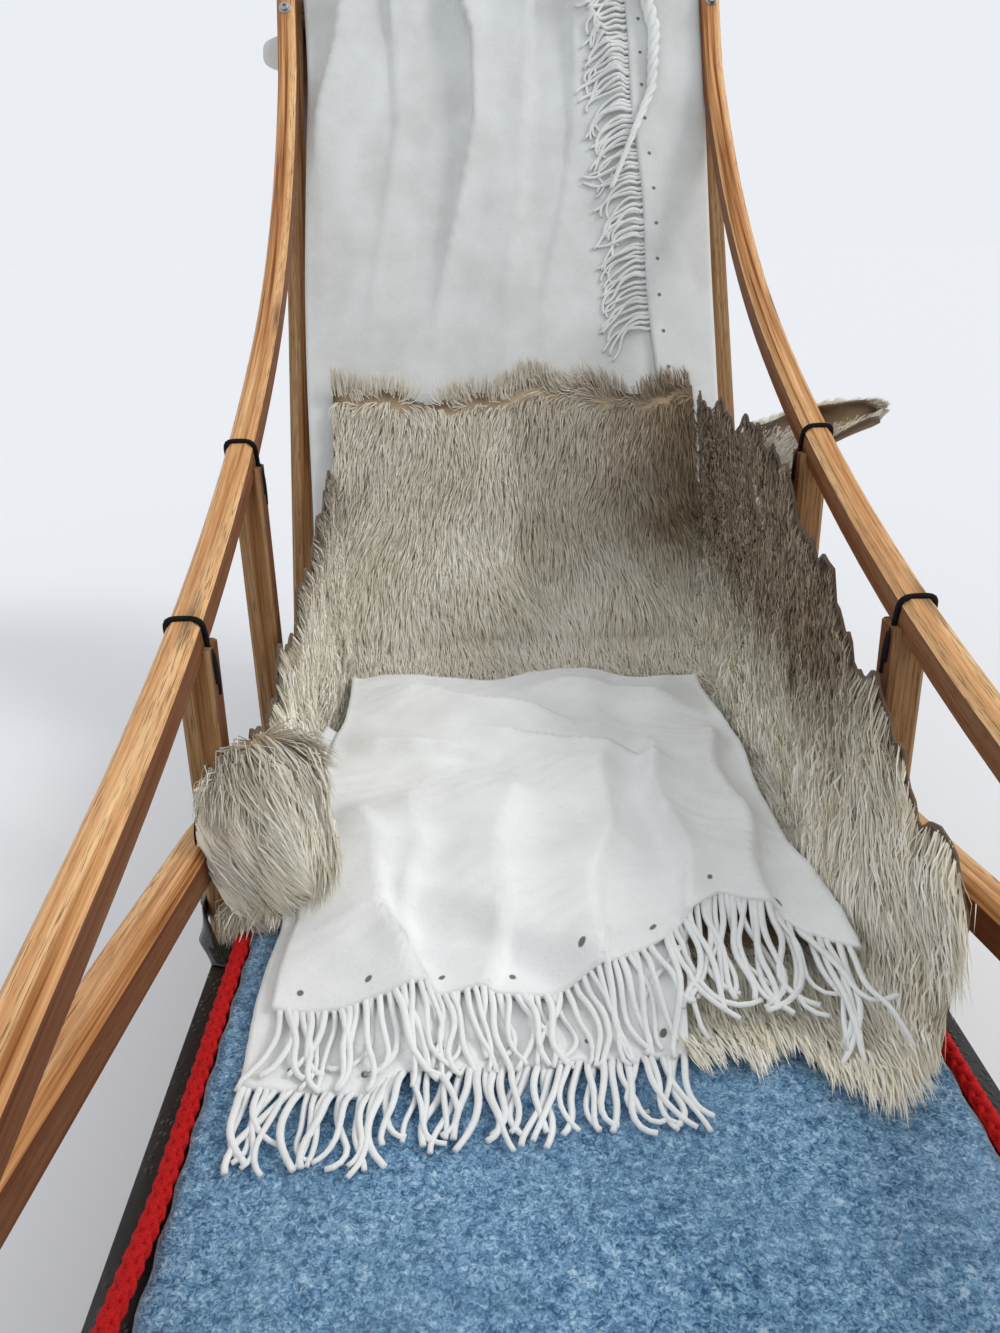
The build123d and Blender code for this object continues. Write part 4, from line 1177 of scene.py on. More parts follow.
# %% The twisted bundle
bundle_share = np.linspace(0, 1, 90)[None, :]
BUNDLE_TURNS = 6.2
BUNDLE_RADIUS = 0.0052
bundle_x = np.interp(
    bundle_share, [0, 0.15, 0.35, 0.6, 0.8, 1], [0.19, 0.206, 0.221, 0.212, 0.180, 0.148]
)
bundle_down = -0.04 + 0.37 * bundle_share
turn = bundle_share * BUNDLE_TURNS * 2 * np.pi + np.array([0, 2.094, 4.189])[:, None]
bundle_radius = BUNDLE_RADIUS * np.clip(1.25 - bundle_share, 0.35, 1)
twisted_x = bundle_x + bundle_radius * np.cos(turn)
twisted_lift = 2 * FOLD_RADIUS + 0.0105 + bundle_radius * np.sin(turn) + sheet_lift(bundle_x, bundle_down)
bundle_radii = BUNDLE_RADIUS * np.clip(1.3 - bundle_share, 0.3, 1) * np.ones((3, 1))
bundle = tubes(
    "fringe_bundle", on_blanket(twisted_x, bundle_down + TOP_AT + 0 * turn, twisted_lift), bundle_radii, 8,
    back_strands,
)
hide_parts("back_blanket")

# %% [markdown]
# ## The felt mat
#
# The bed's mat is a needled felt, blue with paler and darker specks, and cut with a knife, so its
# edges show a pale grey line. The felt lies on the plastic and is a little uneven. Its surface is a
# grid pushed up and down by noise, and the loops on it are too fine for points, so they are drawn in
# the bump.

# %% Felt
def felt():
    made = Finish("blue_felt", Roughness=1.0, Sheen_Weight=0.2, Specular_IOR_Level=0.1)
    place = made.place()
    loops = made.noise(place, 300.0, 2.0, 0.6, 1.2)
    specks = made.noise(place, 130.0, 3.0, 0.7)
    worn = made.noise(place, 7.0, 4.0, 0.6)
    colour = made.colours(
        loops * 0.6 + specks * 0.4,
        [
            (0.37, from_screen(48, 84, 118)),
            (0.47, from_screen(92, 134, 168)),
            (0.55, from_screen(128, 168, 200)),
            (0.66, from_screen(186, 212, 230)),
        ],
    )
    colour = made.mix(colour, from_screen(128, 160, 186), worn.ramp(0.45, 0.75) * 0.35)
    cut = 1 - made.parts(made.attribute("cloth"))[2].ramp(0.0005, 0.0022)
    colour = made.mix(colour, from_screen(158, 172, 182), cut * 0.75)
    return made.set(Base_Color=colour, Normal=made.bump(loops * 0.7 + specks * 0.3, 0.003, 0.9))


mat_low, mat_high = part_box("felt_mat")
MAT_THICKNESS = 0.0068
mat_x = np.linspace(mat_low[0], mat_high[0], 56)
mat_y = np.linspace(mat_high[1], mat_low[1], 130)
grid_x, grid_y = np.meshgrid(mat_x, mat_y)
uneven = 0.0006 * np.sin(grid_x * 37 + 2 * np.sin(grid_y * 11)) * np.sin(grid_y * 23 + 1)
mat_edge_x = np.minimum(grid_x - mat_low[0], mat_high[0] - grid_x)
mat_edge_y = np.minimum(grid_y - mat_low[1], mat_high[1] - grid_y)
mat_edge = np.minimum(mat_edge_x, mat_edge_y)
ragged = 0.0011 * np.sin(grid_y * 160) * (mat_edge < 0.001)
mat_points = np.stack(
    [grid_x + ragged, grid_y, mat_high[2] - MAT_THICKNESS / 2 - 0.0004 + uneven], axis=-1
)
mat_numbers = point_numbers("cloth", grid_x, grid_y, mat_edge)
mat = cloth_mesh("bed_mat", mat_points, MAT_THICKNESS, felt(), mat_numbers)
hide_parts("felt_mat")

# %% [markdown]
# ## The hide
#
# A whole reindeer hide lies on the bed with its fur up. It covers the mat's rear half, climbs both
# sides between the posts and the foot of the backrest, and one leg sticks out. Underneath it is a
# stiff skin, pale and suede-like, that has dried dark and curled along its edge. The skin is made
# from grids: a trough whose cross-section goes down one side, along the bed and up the other, a
# panel against the backrest, and a leg that pokes out under the right rail.

# %% Shape of the skin
BED_SKIN_Z = 0.2072
SKIN_THICKNESS = 0.0028
SKIN_AHEAD = 0.047


def wall_bend(y, side):
    """Radius of the bend from the bed up the side: tight between the posts, wide at the right front."""
    return 0.034 + 0.030 * falling(y, -0.20, 0.14) * (np.asarray(side) > 0)


def along_width(x):
    """Y of the hide's front edge at a place across."""
    share = (x + 0.25) / 0.5
    edge = [-0.262, -0.262, -0.300, -0.395, -0.436, -0.454]
    return np.interp(share, [0.0, 0.2, 0.35, 0.6, 0.75, 1.0], edge)


def wall_top(y, side):
    """Height of the skin's upper edge on one side."""
    ragged = 0.010 * np.sin(y * 43 + side) + 0.006 * np.sin(y * 97 + 2 * side) + 0.004 * np.sin(y * 210)
    right = np.clip(0.338 + 0.40 * (y + 0.42), 0.3, 0.535)
    left = np.interp(y, [-0.30, -0.22, -0.05, 0.2, 0.3], [0.345, 0.352, 0.372, 0.41, 0.44])
    return np.where(side > 0, right, left) + ragged


def wall_x(z, y, side):
    """How far out the skin's wall is at a height: it leans out, bulges, and stays inside the posts."""
    rise = np.clip(z - BED_SKIN_Z, 0, 0.4)
    bulge = 0.010 * np.sin(np.clip(rise / 0.12, 0, 1) * np.pi) * np.sin(y * 17 + 1 + side)
    flare = 0.06 * np.clip(-0.26 - y, 0, 0.2) * np.clip(rise / 0.1, 0, 1)
    spread = 0.235 + 0.072 * rise + flare + bulge
    ahead = falling(y, -0.275, 0.05) * np.clip(rise / 0.05, 0, 1)
    return np.minimum(spread, 0.253 + 0.024 * ahead)


ACROSS = 77
WALL_STEPS = 26
BEND_STEPS = 8
trough_rows = 92
lengthwise = np.linspace(0, 1, trough_rows)[:, None]
print("the side's foot is", round(float(wall_x(BED_SKIN_Z, 0.0, 1)), 3), "m out")

# %% The trough on the bed and up the sides
def side_profile(y, side):
    """Points up one side from the end of the flat bed: x and z for each row."""
    bend = np.linspace(0, np.pi / 2, BEND_STEPS)[None, :]
    radius = wall_bend(y, side)
    low = BED_SKIN_Z + radius
    foot_x = wall_x(low, y, side)
    arc_x = foot_x - radius + radius * np.sin(bend)
    arc_z = BED_SKIN_Z + radius * (1 - np.cos(bend))
    share = np.linspace(0, 1, WALL_STEPS)[None, 1:]
    wall_z = low + (wall_top(y, side) - low) * share
    return np.concatenate([arc_x, wall_x(wall_z, y, side)], 1), np.concatenate([arc_z, wall_z], 1)


def trough():
    """The hide on the bed and up both sides, as a grid of points."""
    guess = -0.35 + 0.6 * lengthwise
    left_x, left_z = side_profile(guess, -1)
    right_x, right_z = side_profile(guess, 1)
    flat_share = np.linspace(0, 1, ACROSS - 2)[None, 1:-1]
    flat_x = -left_x[:, :1] + (right_x[:, :1] + left_x[:, :1]) * flat_share
    x = np.concatenate([-left_x[:, ::-1], flat_x, right_x], axis=1)
    z = np.concatenate([left_z[:, ::-1], BED_SKIN_Z + 0 * flat_x, right_z], axis=1)
    rear = backrest_y(z) - SKIN_AHEAD
    front = along_width(x) + 0.016 * np.sin(x * 55) + 0.008 * np.sin(x * 140 + z * 60)
    front = front + 0.25 * np.clip(z - 0.30, 0, 1)
    y = front + (rear - front) * lengthwise
    x_left, z_left = side_profile(y[:, :1], -1)
    x_right, z_right = side_profile(y[:, -1:], 1)
    sides = left_x.shape[1]
    x[:, :sides], z[:, :sides] = -x_left[:, ::-1], z_left[:, ::-1]
    x[:, -sides:], z[:, -sides:] = x_right, z_right
    y = front + (np.minimum(backrest_y(z) - SKIN_AHEAD, 0.42) - front) * lengthwise
    return np.stack([x, y, z], axis=-1)


print("trough rows", trough_rows)

# %% The panel against the backrest, and the leg
PANEL_AHEAD = 0.0415
PANEL_FOOT_Z = 0.262
PANEL_END_Z = 0.2115


def panel():
    """The hide's rear end, up the foot of the backrest."""
    rows = 46
    x = np.linspace(0.247, -0.247, 92)[None, :] + np.zeros((rows, 1))
    top = 0.548 + 0.012 * np.sin(x * 21 + 0.6) + 0.005 * np.sin(x * 67) + 0.05 * np.clip(x - 0.1, 0, 1)
    z = PANEL_FOOT_Z + (top - PANEL_FOOT_Z) * np.linspace(1, 0, rows)[:, None]
    y = backrest_y(z) - PANEL_AHEAD - 0.004 * np.sin(x * 31) * np.sin(z * 40)
    foot = np.linspace(0, 1, 14)[1:, None]
    foot_z = PANEL_FOOT_Z + (PANEL_END_Z - PANEL_FOOT_Z) * np.sin(foot * np.pi / 2)
    bend = 0.075 * (1 - np.cos(foot * np.pi / 2))
    foot_y = backrest_y(PANEL_FOOT_Z) - PANEL_AHEAD - bend - 0.016 * foot
    x = np.concatenate([x, np.repeat(x[:1], 13, 0)])
    y = np.concatenate([y, foot_y + 0 * x[:13]])
    z = np.concatenate([z, foot_z + 0 * x[:13]])
    return np.stack([x, y, z], axis=-1)


def leg():
    """A leg of the hide, out under the right rail: a strip that rolls itself up on its way."""
    route = np.array(
        [[0.247, 0.120, 0.482], [0.266, 0.112, 0.503], [0.292, 0.098, 0.523], [0.318, 0.078, 0.540],
         [0.338, 0.060, 0.552], [0.352, 0.044, 0.560]]
    )
    steps = np.linspace(0, 5, 26)
    middle = np.stack([np.interp(steps, range(6), route[:, k]) for k in range(3)], axis=1)
    middle = smoothed(middle, 3)
    half = np.interp(steps, [0, 1.5, 3.5, 4.6, 5], [0.070, 0.045, 0.030, 0.026, 0.016])
    across = np.linspace(-1, 1, 20)
    rolled = np.interp(steps, [0, 1.2, 3, 5], [0.1, 0.6, 2.9, 4.4])[:, None]
    bend = across[None, :] * rolled / 2
    radius = 2 * half[:, None] / rolled
    wide = (radius * np.sin(bend))[..., None] * np.array([0, -0.8, -0.6])
    deep = (radius * (1 - np.cos(bend)))[..., None] * np.array([-0.45, -0.5, 0.74])
    return middle[:, None, :] + wide + deep


trough_points = trough()
panel_points = panel()
leg_points = leg()
print("skin grids", trough_points.shape[:2], panel_points.shape[:2], leg_points.shape[:2])

# %% The skin's finish: suede that dries dark towards its edge
def suede():
    made = Finish("dried_skin", Roughness=0.8, Sheen_Weight=0.1)
    edge = made.parts(made.attribute("cloth"))[2]
    place = made.place()
    blotch = made.noise(place, 34.0, 4.0, 0.6)
    fine = made.noise(place, 420.0, 3.0, 0.6)
    colour = made.mix(from_screen(188, 168, 138), from_screen(160, 136, 106), blotch.ramp(0.3, 0.8))
    dried = 1 - (edge + (blotch - 0.5) * 0.03).ramp(0.004, 0.026)
    colour = made.mix(colour, from_screen(78, 60, 44), dried * 0.9)
    wrinkled = made.noise(made.stretch(place, (1, 2.4, 1)), 90.0, 3.0, 0.6, 0.8)
    height = fine * 0.3 + wrinkled * 0.7
    return made.set(Base_Color=colour, Normal=made.bump(height, 0.0018, 0.7))


def edge_distance(points):
    """Distance of each grid point from the nearest edge of its grid, along the sheet."""
    along = np.linalg.norm(np.diff(points, axis=0), axis=-1)
    across = np.linalg.norm(np.diff(points, axis=1), axis=-1)
    down = np.concatenate([np.zeros((1, points.shape[1])), np.cumsum(along, axis=0)])
    over = np.concatenate([np.zeros((points.shape[0], 1)), np.cumsum(across, axis=1)], axis=1)
    return np.minimum(np.minimum(down, down[-1:] - down), np.minimum(over, over[:, -1:] - over))


skin_finish = suede()
for part, points in (("trough", trough_points), ("panel", panel_points), ("leg", leg_points)):
    distance = edge_distance(points)
    numbers = point_numbers("cloth", 0, 0, distance)
    made = cloth_mesh(f"hide_{part}", points, SKIN_THICKNESS, skin_finish, numbers)
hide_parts("reindeer_hide")

# %% [markdown]
# ## Fur
#
# Reindeer fur is thick and hollow-haired. It lies in overlapping locks that point forward and down
# the sides, it stands away from the skin at every bend and edge, and it is grey-white with browner
# patches where the animal's back was. Each lock is a narrow pointed ribbon with one bend, laid flat on
# the coat as if combed. Its tip leans towards the middle of its small neighbourhood, which gives the
# coat its tufts. The shader adds the single hairs: streaks along the lock, a pale tip, and on brown
# locks a dusky root, which is painted shade deep in the coat.

# %% Locks of hair
def waves(points, scale, seed):
    """A slow, smooth number from -1 to 1 at each point, the same on every run."""
    total = np.zeros(points.shape[:-1])
    for k in range(4):
        way = np.random.default_rng(seed + k).normal(0, 1, 3) * scale * (1 + 0.7 * k)
        total += np.sin(points @ way + 2.1 * k + seed) / (1 + 0.5 * k)
    return total / 2.6


def scatter(points, count, keep=None):
    """Places on a grid sheet, spread by area, with their normals and distances from its edge."""
    normals = grid_normals(points)
    distance = edge_distance(points)
    area = np.linalg.norm(
        np.cross(points[1:, :-1] - points[:-1, :-1], points[:-1, 1:] - points[:-1, :-1]), axis=-1
    )
    if keep is not None:
        area = area * keep[:-1, :-1]
    cell = chance.choice(area.size, count, p=(area / area.sum()).reshape(-1))
    row, column = np.unravel_index(cell, area.shape)
    shares = chance.uniform(0, 1, (2, count))

    def between(values):
        """Values mixed from the four grid points round each place."""
        down, over = shares[..., None] if values.ndim == 3 else shares
        near = values[row, column] * (1 - over) + values[row, column + 1] * over
        far = values[row + 1, column] * (1 - over) + values[row + 1, column + 1] * over
        return near * (1 - down) + far * down

    return between(points), unit(between(normals)), between(distance)


print("waves at the origin", waves(np.zeros((1, 3)), 30, 3).round(2))

# %% A lock is a pointed ribbon with one bend
def combed(flow, out):
    """The flow of the hair laid along the skin."""
    return unit(flow - out * (flow * out).sum(1, keepdims=True))


TUFT_SIZE = 0.013


def locks(name, roots, out, flow, length, radius, brown, material):
    """Pointed ribbons with one bend, from their roots along the flow of the coat."""
    count = len(roots)
    length = length[:, None]
    heading = unit(out * 0.55 + flow + chance.normal(0, 0.13, (count, 3)))
    later = unit(flow * 1.0 + out * 0.12 + np.array([0, 0, -0.18]) + chance.normal(0, 0.16, (count, 3)))
    middle = roots + heading * length * 0.5
    tip = middle + later * length * 0.5
    cell = np.round(roots / TUFT_SIZE).astype(int)
    _, member = np.unique(cell, axis=0, return_inverse=True)
    member = member.reshape(-1)
    total = np.stack([np.bincount(member, tip[:, k]) for k in range(3)], axis=1)
    centre = (total / np.bincount(member)[:, None])[member]
    tip += (centre - tip) * 0.42
    middle += (centre - middle) * 0.06
    side = unit(np.cross(heading, out + 1e-3) + chance.normal(0, 0.35, (count, 3)))
    edge = side * radius[:, None]
    points = np.stack([roots - edge, roots + edge, middle - edge * 0.8, middle + edge * 0.8, tip], axis=1)
    one = np.array([[0, 1, 3], [0, 3, 2], [2, 3, 4]])
    points = points.reshape(-1, 3)
    faces = (one[None] + (np.arange(count) * 5)[:, None, None]).reshape(-1, 3)
    number = np.clip(0.5 + 0.45 * waves(roots, 55, 61) + chance.normal(0, 0.22, count), 0, 1)
    along = np.tile([0, 0, 0.5, 0.5, 1.0], count)
    around = np.tile([0, 1, 0, 1, 0.5], count)
    tint = np.stack([np.repeat(brown, 5), np.repeat(number, 5), along], axis=-1)
    strand = np.stack([around + np.repeat(number, 5) * 90, along, around], axis=-1)
    return make_piece(
        name, points, faces, material, {"tint": tint, "strand": strand}
    )


print("tufts are about", TUFT_SIZE, "m wide")

# %% The fur's shader
def fur_finish():
    made = Finish("reindeer_fur", Roughness=0.75, Sheen_Weight=0.1, Specular_IOR_Level=0.25)
    brown, number, along = made.parts(made.attribute("tint"))
    hairs = made.noise(made.stretch(made.attribute("strand"), (9, 1.6, 0)), 1.0, 2.0, 0.6)
    pale = made.mix(from_screen(234, 226, 202), from_screen(255, 253, 244), number)
    dark = made.mix(from_screen(112, 94, 74), from_screen(168, 150, 124), number)
    # Brown locks get a dark root: painted shade deep in the coat. Pale locks keep a pale root.
    root = made.mix(from_screen(246, 240, 224), from_screen(112, 94, 74), brown)
    colour = made.mix(pale, dark, brown)
    colour = made.mix(root, colour, (along + (hairs - 0.5) * 0.5).ramp(0.02, 0.55))
    colour = made.mix(colour, from_screen(250, 247, 236), (along.ramp(0.6, 1.0) * (1 - brown)) * 0.6)
    colour = made.mix(colour, from_screen(176, 162, 138), hairs.ramp(0.56, 0.74) * 0.3)
    return made.set(Base_Color=colour)


fur_material = fur_finish()
print("fur finish ready")

# %% The coat on the bed and its sides
def brownness(points):
    """Share of the brown hair: high on the right side, in patches elsewhere, none low in front."""
    x, y, z = points[..., 0], points[..., 1], points[..., 2]
    high = 1.5 * rising(z, 0.29, 0.10) * (x > 0)
    patch = np.clip(waves(points, 22, 5) * 1.3 - 0.45, 0, 1)
    near = rising(y, -0.33, 0.14)
    left_top = 0.5 * rising(z, 0.36, 0.06) * (x < 0)
    return np.clip((0.62 * high + 0.55 * patch + left_top) * (0.06 + 0.94 * near), 0, 1)


BED_LOCKS = 110000
REAR_LOCKS = 30000
LEG_LOCKS = 9000
ROLL_LOCKS = 20000
HIDDEN_LENGTH = 0.015
covered = (
    (np.abs(trough_points[..., 0]) < 0.185)
    & (trough_points[..., 2] < 0.22)
    & (trough_points[..., 1] < 0.13)
    & (trough_points[..., 1] > np.maximum(along_width(trough_points[..., 0]) + 0.05, -0.325))
)
keep = np.where(covered, 0.02, 1.0)
roots, out, distance = scatter(trough_points, BED_LOCKS, keep)
flow_side = np.stack([np.zeros(len(roots)), np.full(len(roots), -0.72), np.full(len(roots), -0.5)], 1)
flow_bed = np.array([0.0, -1.0, 0.02])[None, :]
height = rising(roots[:, 2], 0.215, 0.05)[:, None]
flow = flow_bed * (1 - height) + flow_side * height
flow[:, 0] += 0.45 * waves(roots, 16, 9)
flow[:, 2] += 0.5 * waves(roots, 24, 17) * height[:, 0]
flow[:, 1] += 0.25 * waves(roots, 20, 13)
flow = combed(flow, out)
edge_stand = np.clip(1 - distance / 0.03, 0, 1)
out = unit(out + flow * 0.4 * (1 - edge_stand)[:, None])
length = chance.uniform(0.026, 0.044, len(roots)) * (1 + 0.25 * waves(roots, 30, 3))
shaggy = rising(roots[:, 0], 0.16, 0.05) * falling(roots[:, 1], -0.2, 0.08)
length *= 1 + 0.5 * shaggy
worn = rising(roots[:, 2], 0.36, 0.05) * (roots[:, 0] > 0) * (1 - shaggy)
length *= 1 - 0.5 * worn
under = (np.abs(roots[:, 0]) < 0.2) & (roots[:, 2] < 0.22) & (roots[:, 1] < 0.17)
under &= roots[:, 1] > np.maximum(along_width(roots[:, 0]) + 0.03, -0.34)
length = np.where(under, HIDDEN_LENGTH, length)
radius = chance.uniform(0.0006, 0.0012, len(roots))
brown = brownness(roots)
for name, chosen in (("left", roots[:, 0] < 0.14), ("right", roots[:, 0] >= 0.14)):
    some = (values[chosen] for values in (roots, out, flow, length, radius, brown))
    locks(f"hide_{name}_coat", *some, fur_material)
print("locks on the bed and its sides", BED_LOCKS)

# %% The coat up the backrest and on the leg
roots, out, distance = scatter(panel_points, REAR_LOCKS)
flow = np.stack([0.35 * waves(roots, 16, 21), 0 * distance, np.full(len(roots), -0.7)], 1)
parting = np.clip((roots[:, 2] - 0.525 - 0.015 * waves(roots, 40, 23)) / 0.02, 0, 1)
flow[:, 2] += 1.6 * parting
flow[:, 1] -= 0.7 * falling(roots[:, 2], 0.27, 0.05)
flow = combed(flow, out)
length = chance.uniform(0.026, 0.040, len(roots))
corner = rising(roots[:, 0], 0.10, 0.12)
brown = np.clip(brownness(roots) * (0.5 + 0.5 * corner) + 0.1, 0, 1)
radius = chance.uniform(0.0006, 0.0011, len(roots))
rear_coat = locks("hide_rear_coat", roots, out, flow, length, radius, brown, fur_material)

roots, out, distance = scatter(leg_points, LEG_LOCKS)
flow = unit(np.stack([np.full(len(roots), 0.55), 0.3 * waves(roots, 30, 31), np.full(len(roots), 0.4)], 1))
length = chance.uniform(0.010, 0.020, len(roots))
radius = chance.uniform(0.0005, 0.0009, len(roots))
brown = rising(roots[:, 0], 0.325, 0.03) * 0.9
leg_coat = locks("hide_leg_coat", roots, out, flow, length, radius, brown, fur_material)
print("locks up the backrest", REAR_LOCKS, "and on the leg", LEG_LOCKS)

# %% [markdown]
# ## The rolled front corner of the hide
#
# At the left front the hide's side doesn't stand up. It has rolled over on itself, and its longest
# hair shows: a thick round lobe, grey at its top and white where the tips hang down. The roll is a
# rounded cushion of skin, open towards the seat, and its locks are a third longer than the rest.

# %% The roll and its long hair
ROLL_MIDDLE = np.array([-0.243, -0.232, 0.286])
ROLL_RADII = np.array([0.046, 0.040, 0.070])
over = np.linspace(-0.46, 0.5, 40)[:, None] * np.pi
around = np.linspace(-0.62, 0.62, 56)[None, :] * np.pi
roll_direction = np.stack(
    [np.cos(over) * np.sin(around), -np.cos(over) * np.cos(around), np.sin(over) + 0 * around], axis=-1
)
lumpy = 1 + 0.09 * np.sin(3 * around + 2 * over) + 0.05 * np.sin(7 * around - 3 * over)
roll_points = (ROLL_MIDDLE + roll_direction * ROLL_RADII * lumpy[..., None])[::-1]
behind_post = -0.262 - roll_points[..., 0] > 0
roll_points[..., 1] = np.where(behind_post, np.minimum(roll_points[..., 1], -0.262), roll_points[..., 1])
distance = edge_distance(roll_points)
numbers = point_numbers("cloth", 0, 0, distance + 0.03)
roll = cloth_mesh("hide_roll", roll_points, SKIN_THICKNESS, skin_finish, numbers)
roots, out, distance = scatter(roll_points, ROLL_LOCKS)
outward = unit(roots - ROLL_MIDDLE)
out = out * np.sign((out * outward).sum(1, keepdims=True))
flow = np.stack([0.5 + 0.35 * waves(roots, 24, 41), 0 * distance - 0.75, 0 * distance - 0.5], 1)
flow = combed(flow, out)
length = chance.uniform(0.036, 0.060, len(roots))
radius = chance.uniform(0.0006, 0.0011, len(roots))
grey_top = rising(roots[:, 2], 0.315, 0.05) * 0.42
roll_coat = locks("hide_roll_coat", roots, out, flow, length, radius, grey_top, fur_material)
print("roll", roll_points.shape[:2], "locks", len(roots))

# %% [markdown]
# ## The seat's blanket
#
# On the hide lies a second white blanket, doubled and rumpled by use. Its two layers end about 6 cm
# apart, each in a fringe, and the lower one reaches over the hide's front edge onto the mat. Each
# layer is a grid of points laid on the height of what is under it, plus creases that fan out
# towards the front. On the right the upper layer rides up the bend of the hide.

# %% What the blanket lies on
FLEECE = 0.0048


def on_hide(x, y):
    """1 on the hide, 0 on the mat ahead of it, with a slope between."""
    share = np.clip((y - along_width(x) + 0.030) / 0.036, 0, 1)
    return share * share * (3 - 2 * share)


def resting_height(x, y):
    radius = wall_bend(y, x)
    bend = np.clip(np.abs(x) - (0.232 - radius), 0, radius * 0.93)
    rise = radius - np.sqrt(radius**2 - bend**2)
    return 0.2056 + on_hide(x, y) * (0.0235 + rise)


# start x and y, end x and y, height, width of its long side, which side is long
CREASES = (
    (-0.180, -0.15, -0.100, -0.420, 0.020, 0.060, -1),
    (-0.125, -0.12, -0.118, -0.380, 0.013, 0.030, -1),
    (-0.030, -0.10, -0.060, -0.400, 0.013, 0.045, -1),
    (0.070, -0.06, 0.020, -0.390, 0.016, 0.050, -1),
    (0.110, -0.02, 0.104, -0.330, 0.022, 0.034, 1),
    (0.185, 0.02, 0.168, -0.330, 0.014, 0.030, -1),
    (-0.170, 0.12, 0.020, 0.030, 0.020, 0.050, -1),
    (0.010, 0.12, 0.170, 0.060, 0.018, 0.045, 1),
    (-0.200, -0.02, -0.070, -0.060, 0.017, 0.040, 1),
    (-0.060, 0.00, 0.120, -0.080, 0.015, 0.040, -1),
)


def rumple(x, y, share=1.0):
    """Height of the creases and of the soft unevenness at a place."""
    height = np.zeros(np.broadcast(x, y).shape)
    for x0, y0, x1, y1, tall, width, side in CREASES:
        length = math.hypot(x1 - x0, y1 - y0)
        ux, uy = (x1 - x0) / length, (y1 - y0) / length
        along = (x - x0) * ux + (y - y0) * uy
        wander = 0.006 * np.sin(along * 33 + x0 * 90)
        away = ((x - x0) * -uy + (y - y0) * ux + wander) * side
        fade = np.clip(along / 0.05 + 0.3, 0, 1) * np.clip((length - along) / 0.06 + 0.5, 0, 1)
        steep = 0.0026 + 0.010 * np.clip(1 - along / length, 0, 1)
        gentle = np.exp(-np.clip(away, 0, None) / width)
        shape = np.where(away > 0, gentle, np.exp(np.clip(away, None, 0) / steep))
        height = height + tall * fade * shape
    soft = 0.0042 * np.sin(x * 38 + 3 * np.sin(y * 13)) * np.sin(y * 29 + 2 * np.sin(x * 17 + 1))
    fine = 0.0008 * np.sin(x * 140 + 6 * np.sin(y * 31)) * np.sin(y * 120)
    return np.clip(1.05 * height + 0.8 * soft + 0.002, 0, None) * share + fine


print("creases", len(CREASES))

# %% The two layers
LOWER_HEM = (
    (-0.24, -0.442), (-0.225, -0.456), (-0.14, -0.464), (-0.118, -0.446), (0.0, -0.444), (0.1, -0.436),
)
UPPER_HEM = (
    (-0.22, -0.386), (-0.16, -0.400), (-0.10, -0.384), (0.03, -0.384),
    (0.062, -0.360), (0.092, -0.330), (0.124, -0.306), (0.165, -0.318), (0.214, -0.392),
)


def lower_front(x):
    return np.interp(x, *zip(*LOWER_HEM))


def upper_front(x):
    return np.interp(x, *zip(*UPPER_HEM)) + 0.003 * np.sin(x * 70)


def lower_height(x, y):
    return resting_height(x, y) + FLEECE / 2 + rumple(x, y, 0.75)


def upper_height(x, y):
    over = falling(x, 0.10, 0.03) * rising(x, -0.25, 0.02)
    return resting_height(x, y) + FLEECE / 2 + rumple(x, y) + over * (FLEECE + 0.0012)


def layer_grid(left, right, rear, front, height, columns, rows):
    """A layer of the blanket: its grid, and its distances along and in from the fringed hem."""
    across = np.linspace(0, 1, columns)[None, :]
    back = np.linspace(1, 0, rows)[:, None]
    x_front = left + (right - left) * across
    y_front = front(x_front)
    y = y_front + (rear + 0.012 * np.sin(x_front * 29) - y_front) * back
    x = x_front + 0.006 * np.sin(y * 21 + 2 * across) * (1 - np.abs(2 * across - 1) * 0.4)
    z = height(x, y)
    return np.stack([x, y, z], axis=-1), point_numbers("hem", x_front + 1, y - y_front, 0)


lower_points, lower_hem = layer_grid(-0.228, 0.082, 0.02, lower_front, lower_height, 78, 118)
lower = cloth_mesh("seat_lower_layer", lower_points, FLEECE, seat_fleece, lower_hem)
upper_points, upper_hem = layer_grid(-0.214, 0.212, 0.165, upper_front, upper_height, 110, 136)
upper = cloth_mesh("seat_upper_layer", upper_points, FLEECE, seat_fleece, upper_hem)
print("layers", lower_points.shape[:2], upper_points.shape[:2])

# %% The two fringes
def fringe_along(name, start, end, front, surface, length, turn, heading, spacing=0.0057):
    """Strips along a hem from X to X that lie on a surface, headed in degrees from straight ahead."""
    root_x = np.arange(start, end, spacing)
    root_x = root_x + chance.normal(0, 0.0006, len(root_x))
    count = len(root_x)
    ahead, sideways, share = curl_lines(count, 14, length, turn, 0.8)
    way = np.radians(heading) + chance.normal(0, 0.10, count)
    dx, dy = np.sin(way)[:, None], -np.cos(way)[:, None]
    y0 = front(root_x)[:, None] + 0.005
    x = np.minimum(root_x[:, None] + ahead * dx - sideways * dy, 0.224 + 0.004 * share)
    y = y0 + ahead * dy + sideways * dx
    layer = chance.uniform(0, 1, (count, 1))
    hump = 0.0075 * layer * np.sin(np.pi * np.clip(share * 1.15, 0, 1)) + 0.002 * layer
    start_z = surface(x, y, True)
    z = surface(x, y, False) + 0.0024 + hump
    z = start_z * np.clip(1 - share * 5, 0, 1) + z * np.clip(share * 5, 0, 1)
    radii = 0.0027 * (1 - 0.25 * share) * chance.uniform(0.85, 1.15, (count, 1))
    lines = np.stack([x, y, z], axis=-1)
    return tubes(name, lines, radii, 6, seat_strands, flat=0.85)


def under_lower(x, y, at_root):
    return lower_height(x, y) if at_root else resting_height(x, y) + 0.0006


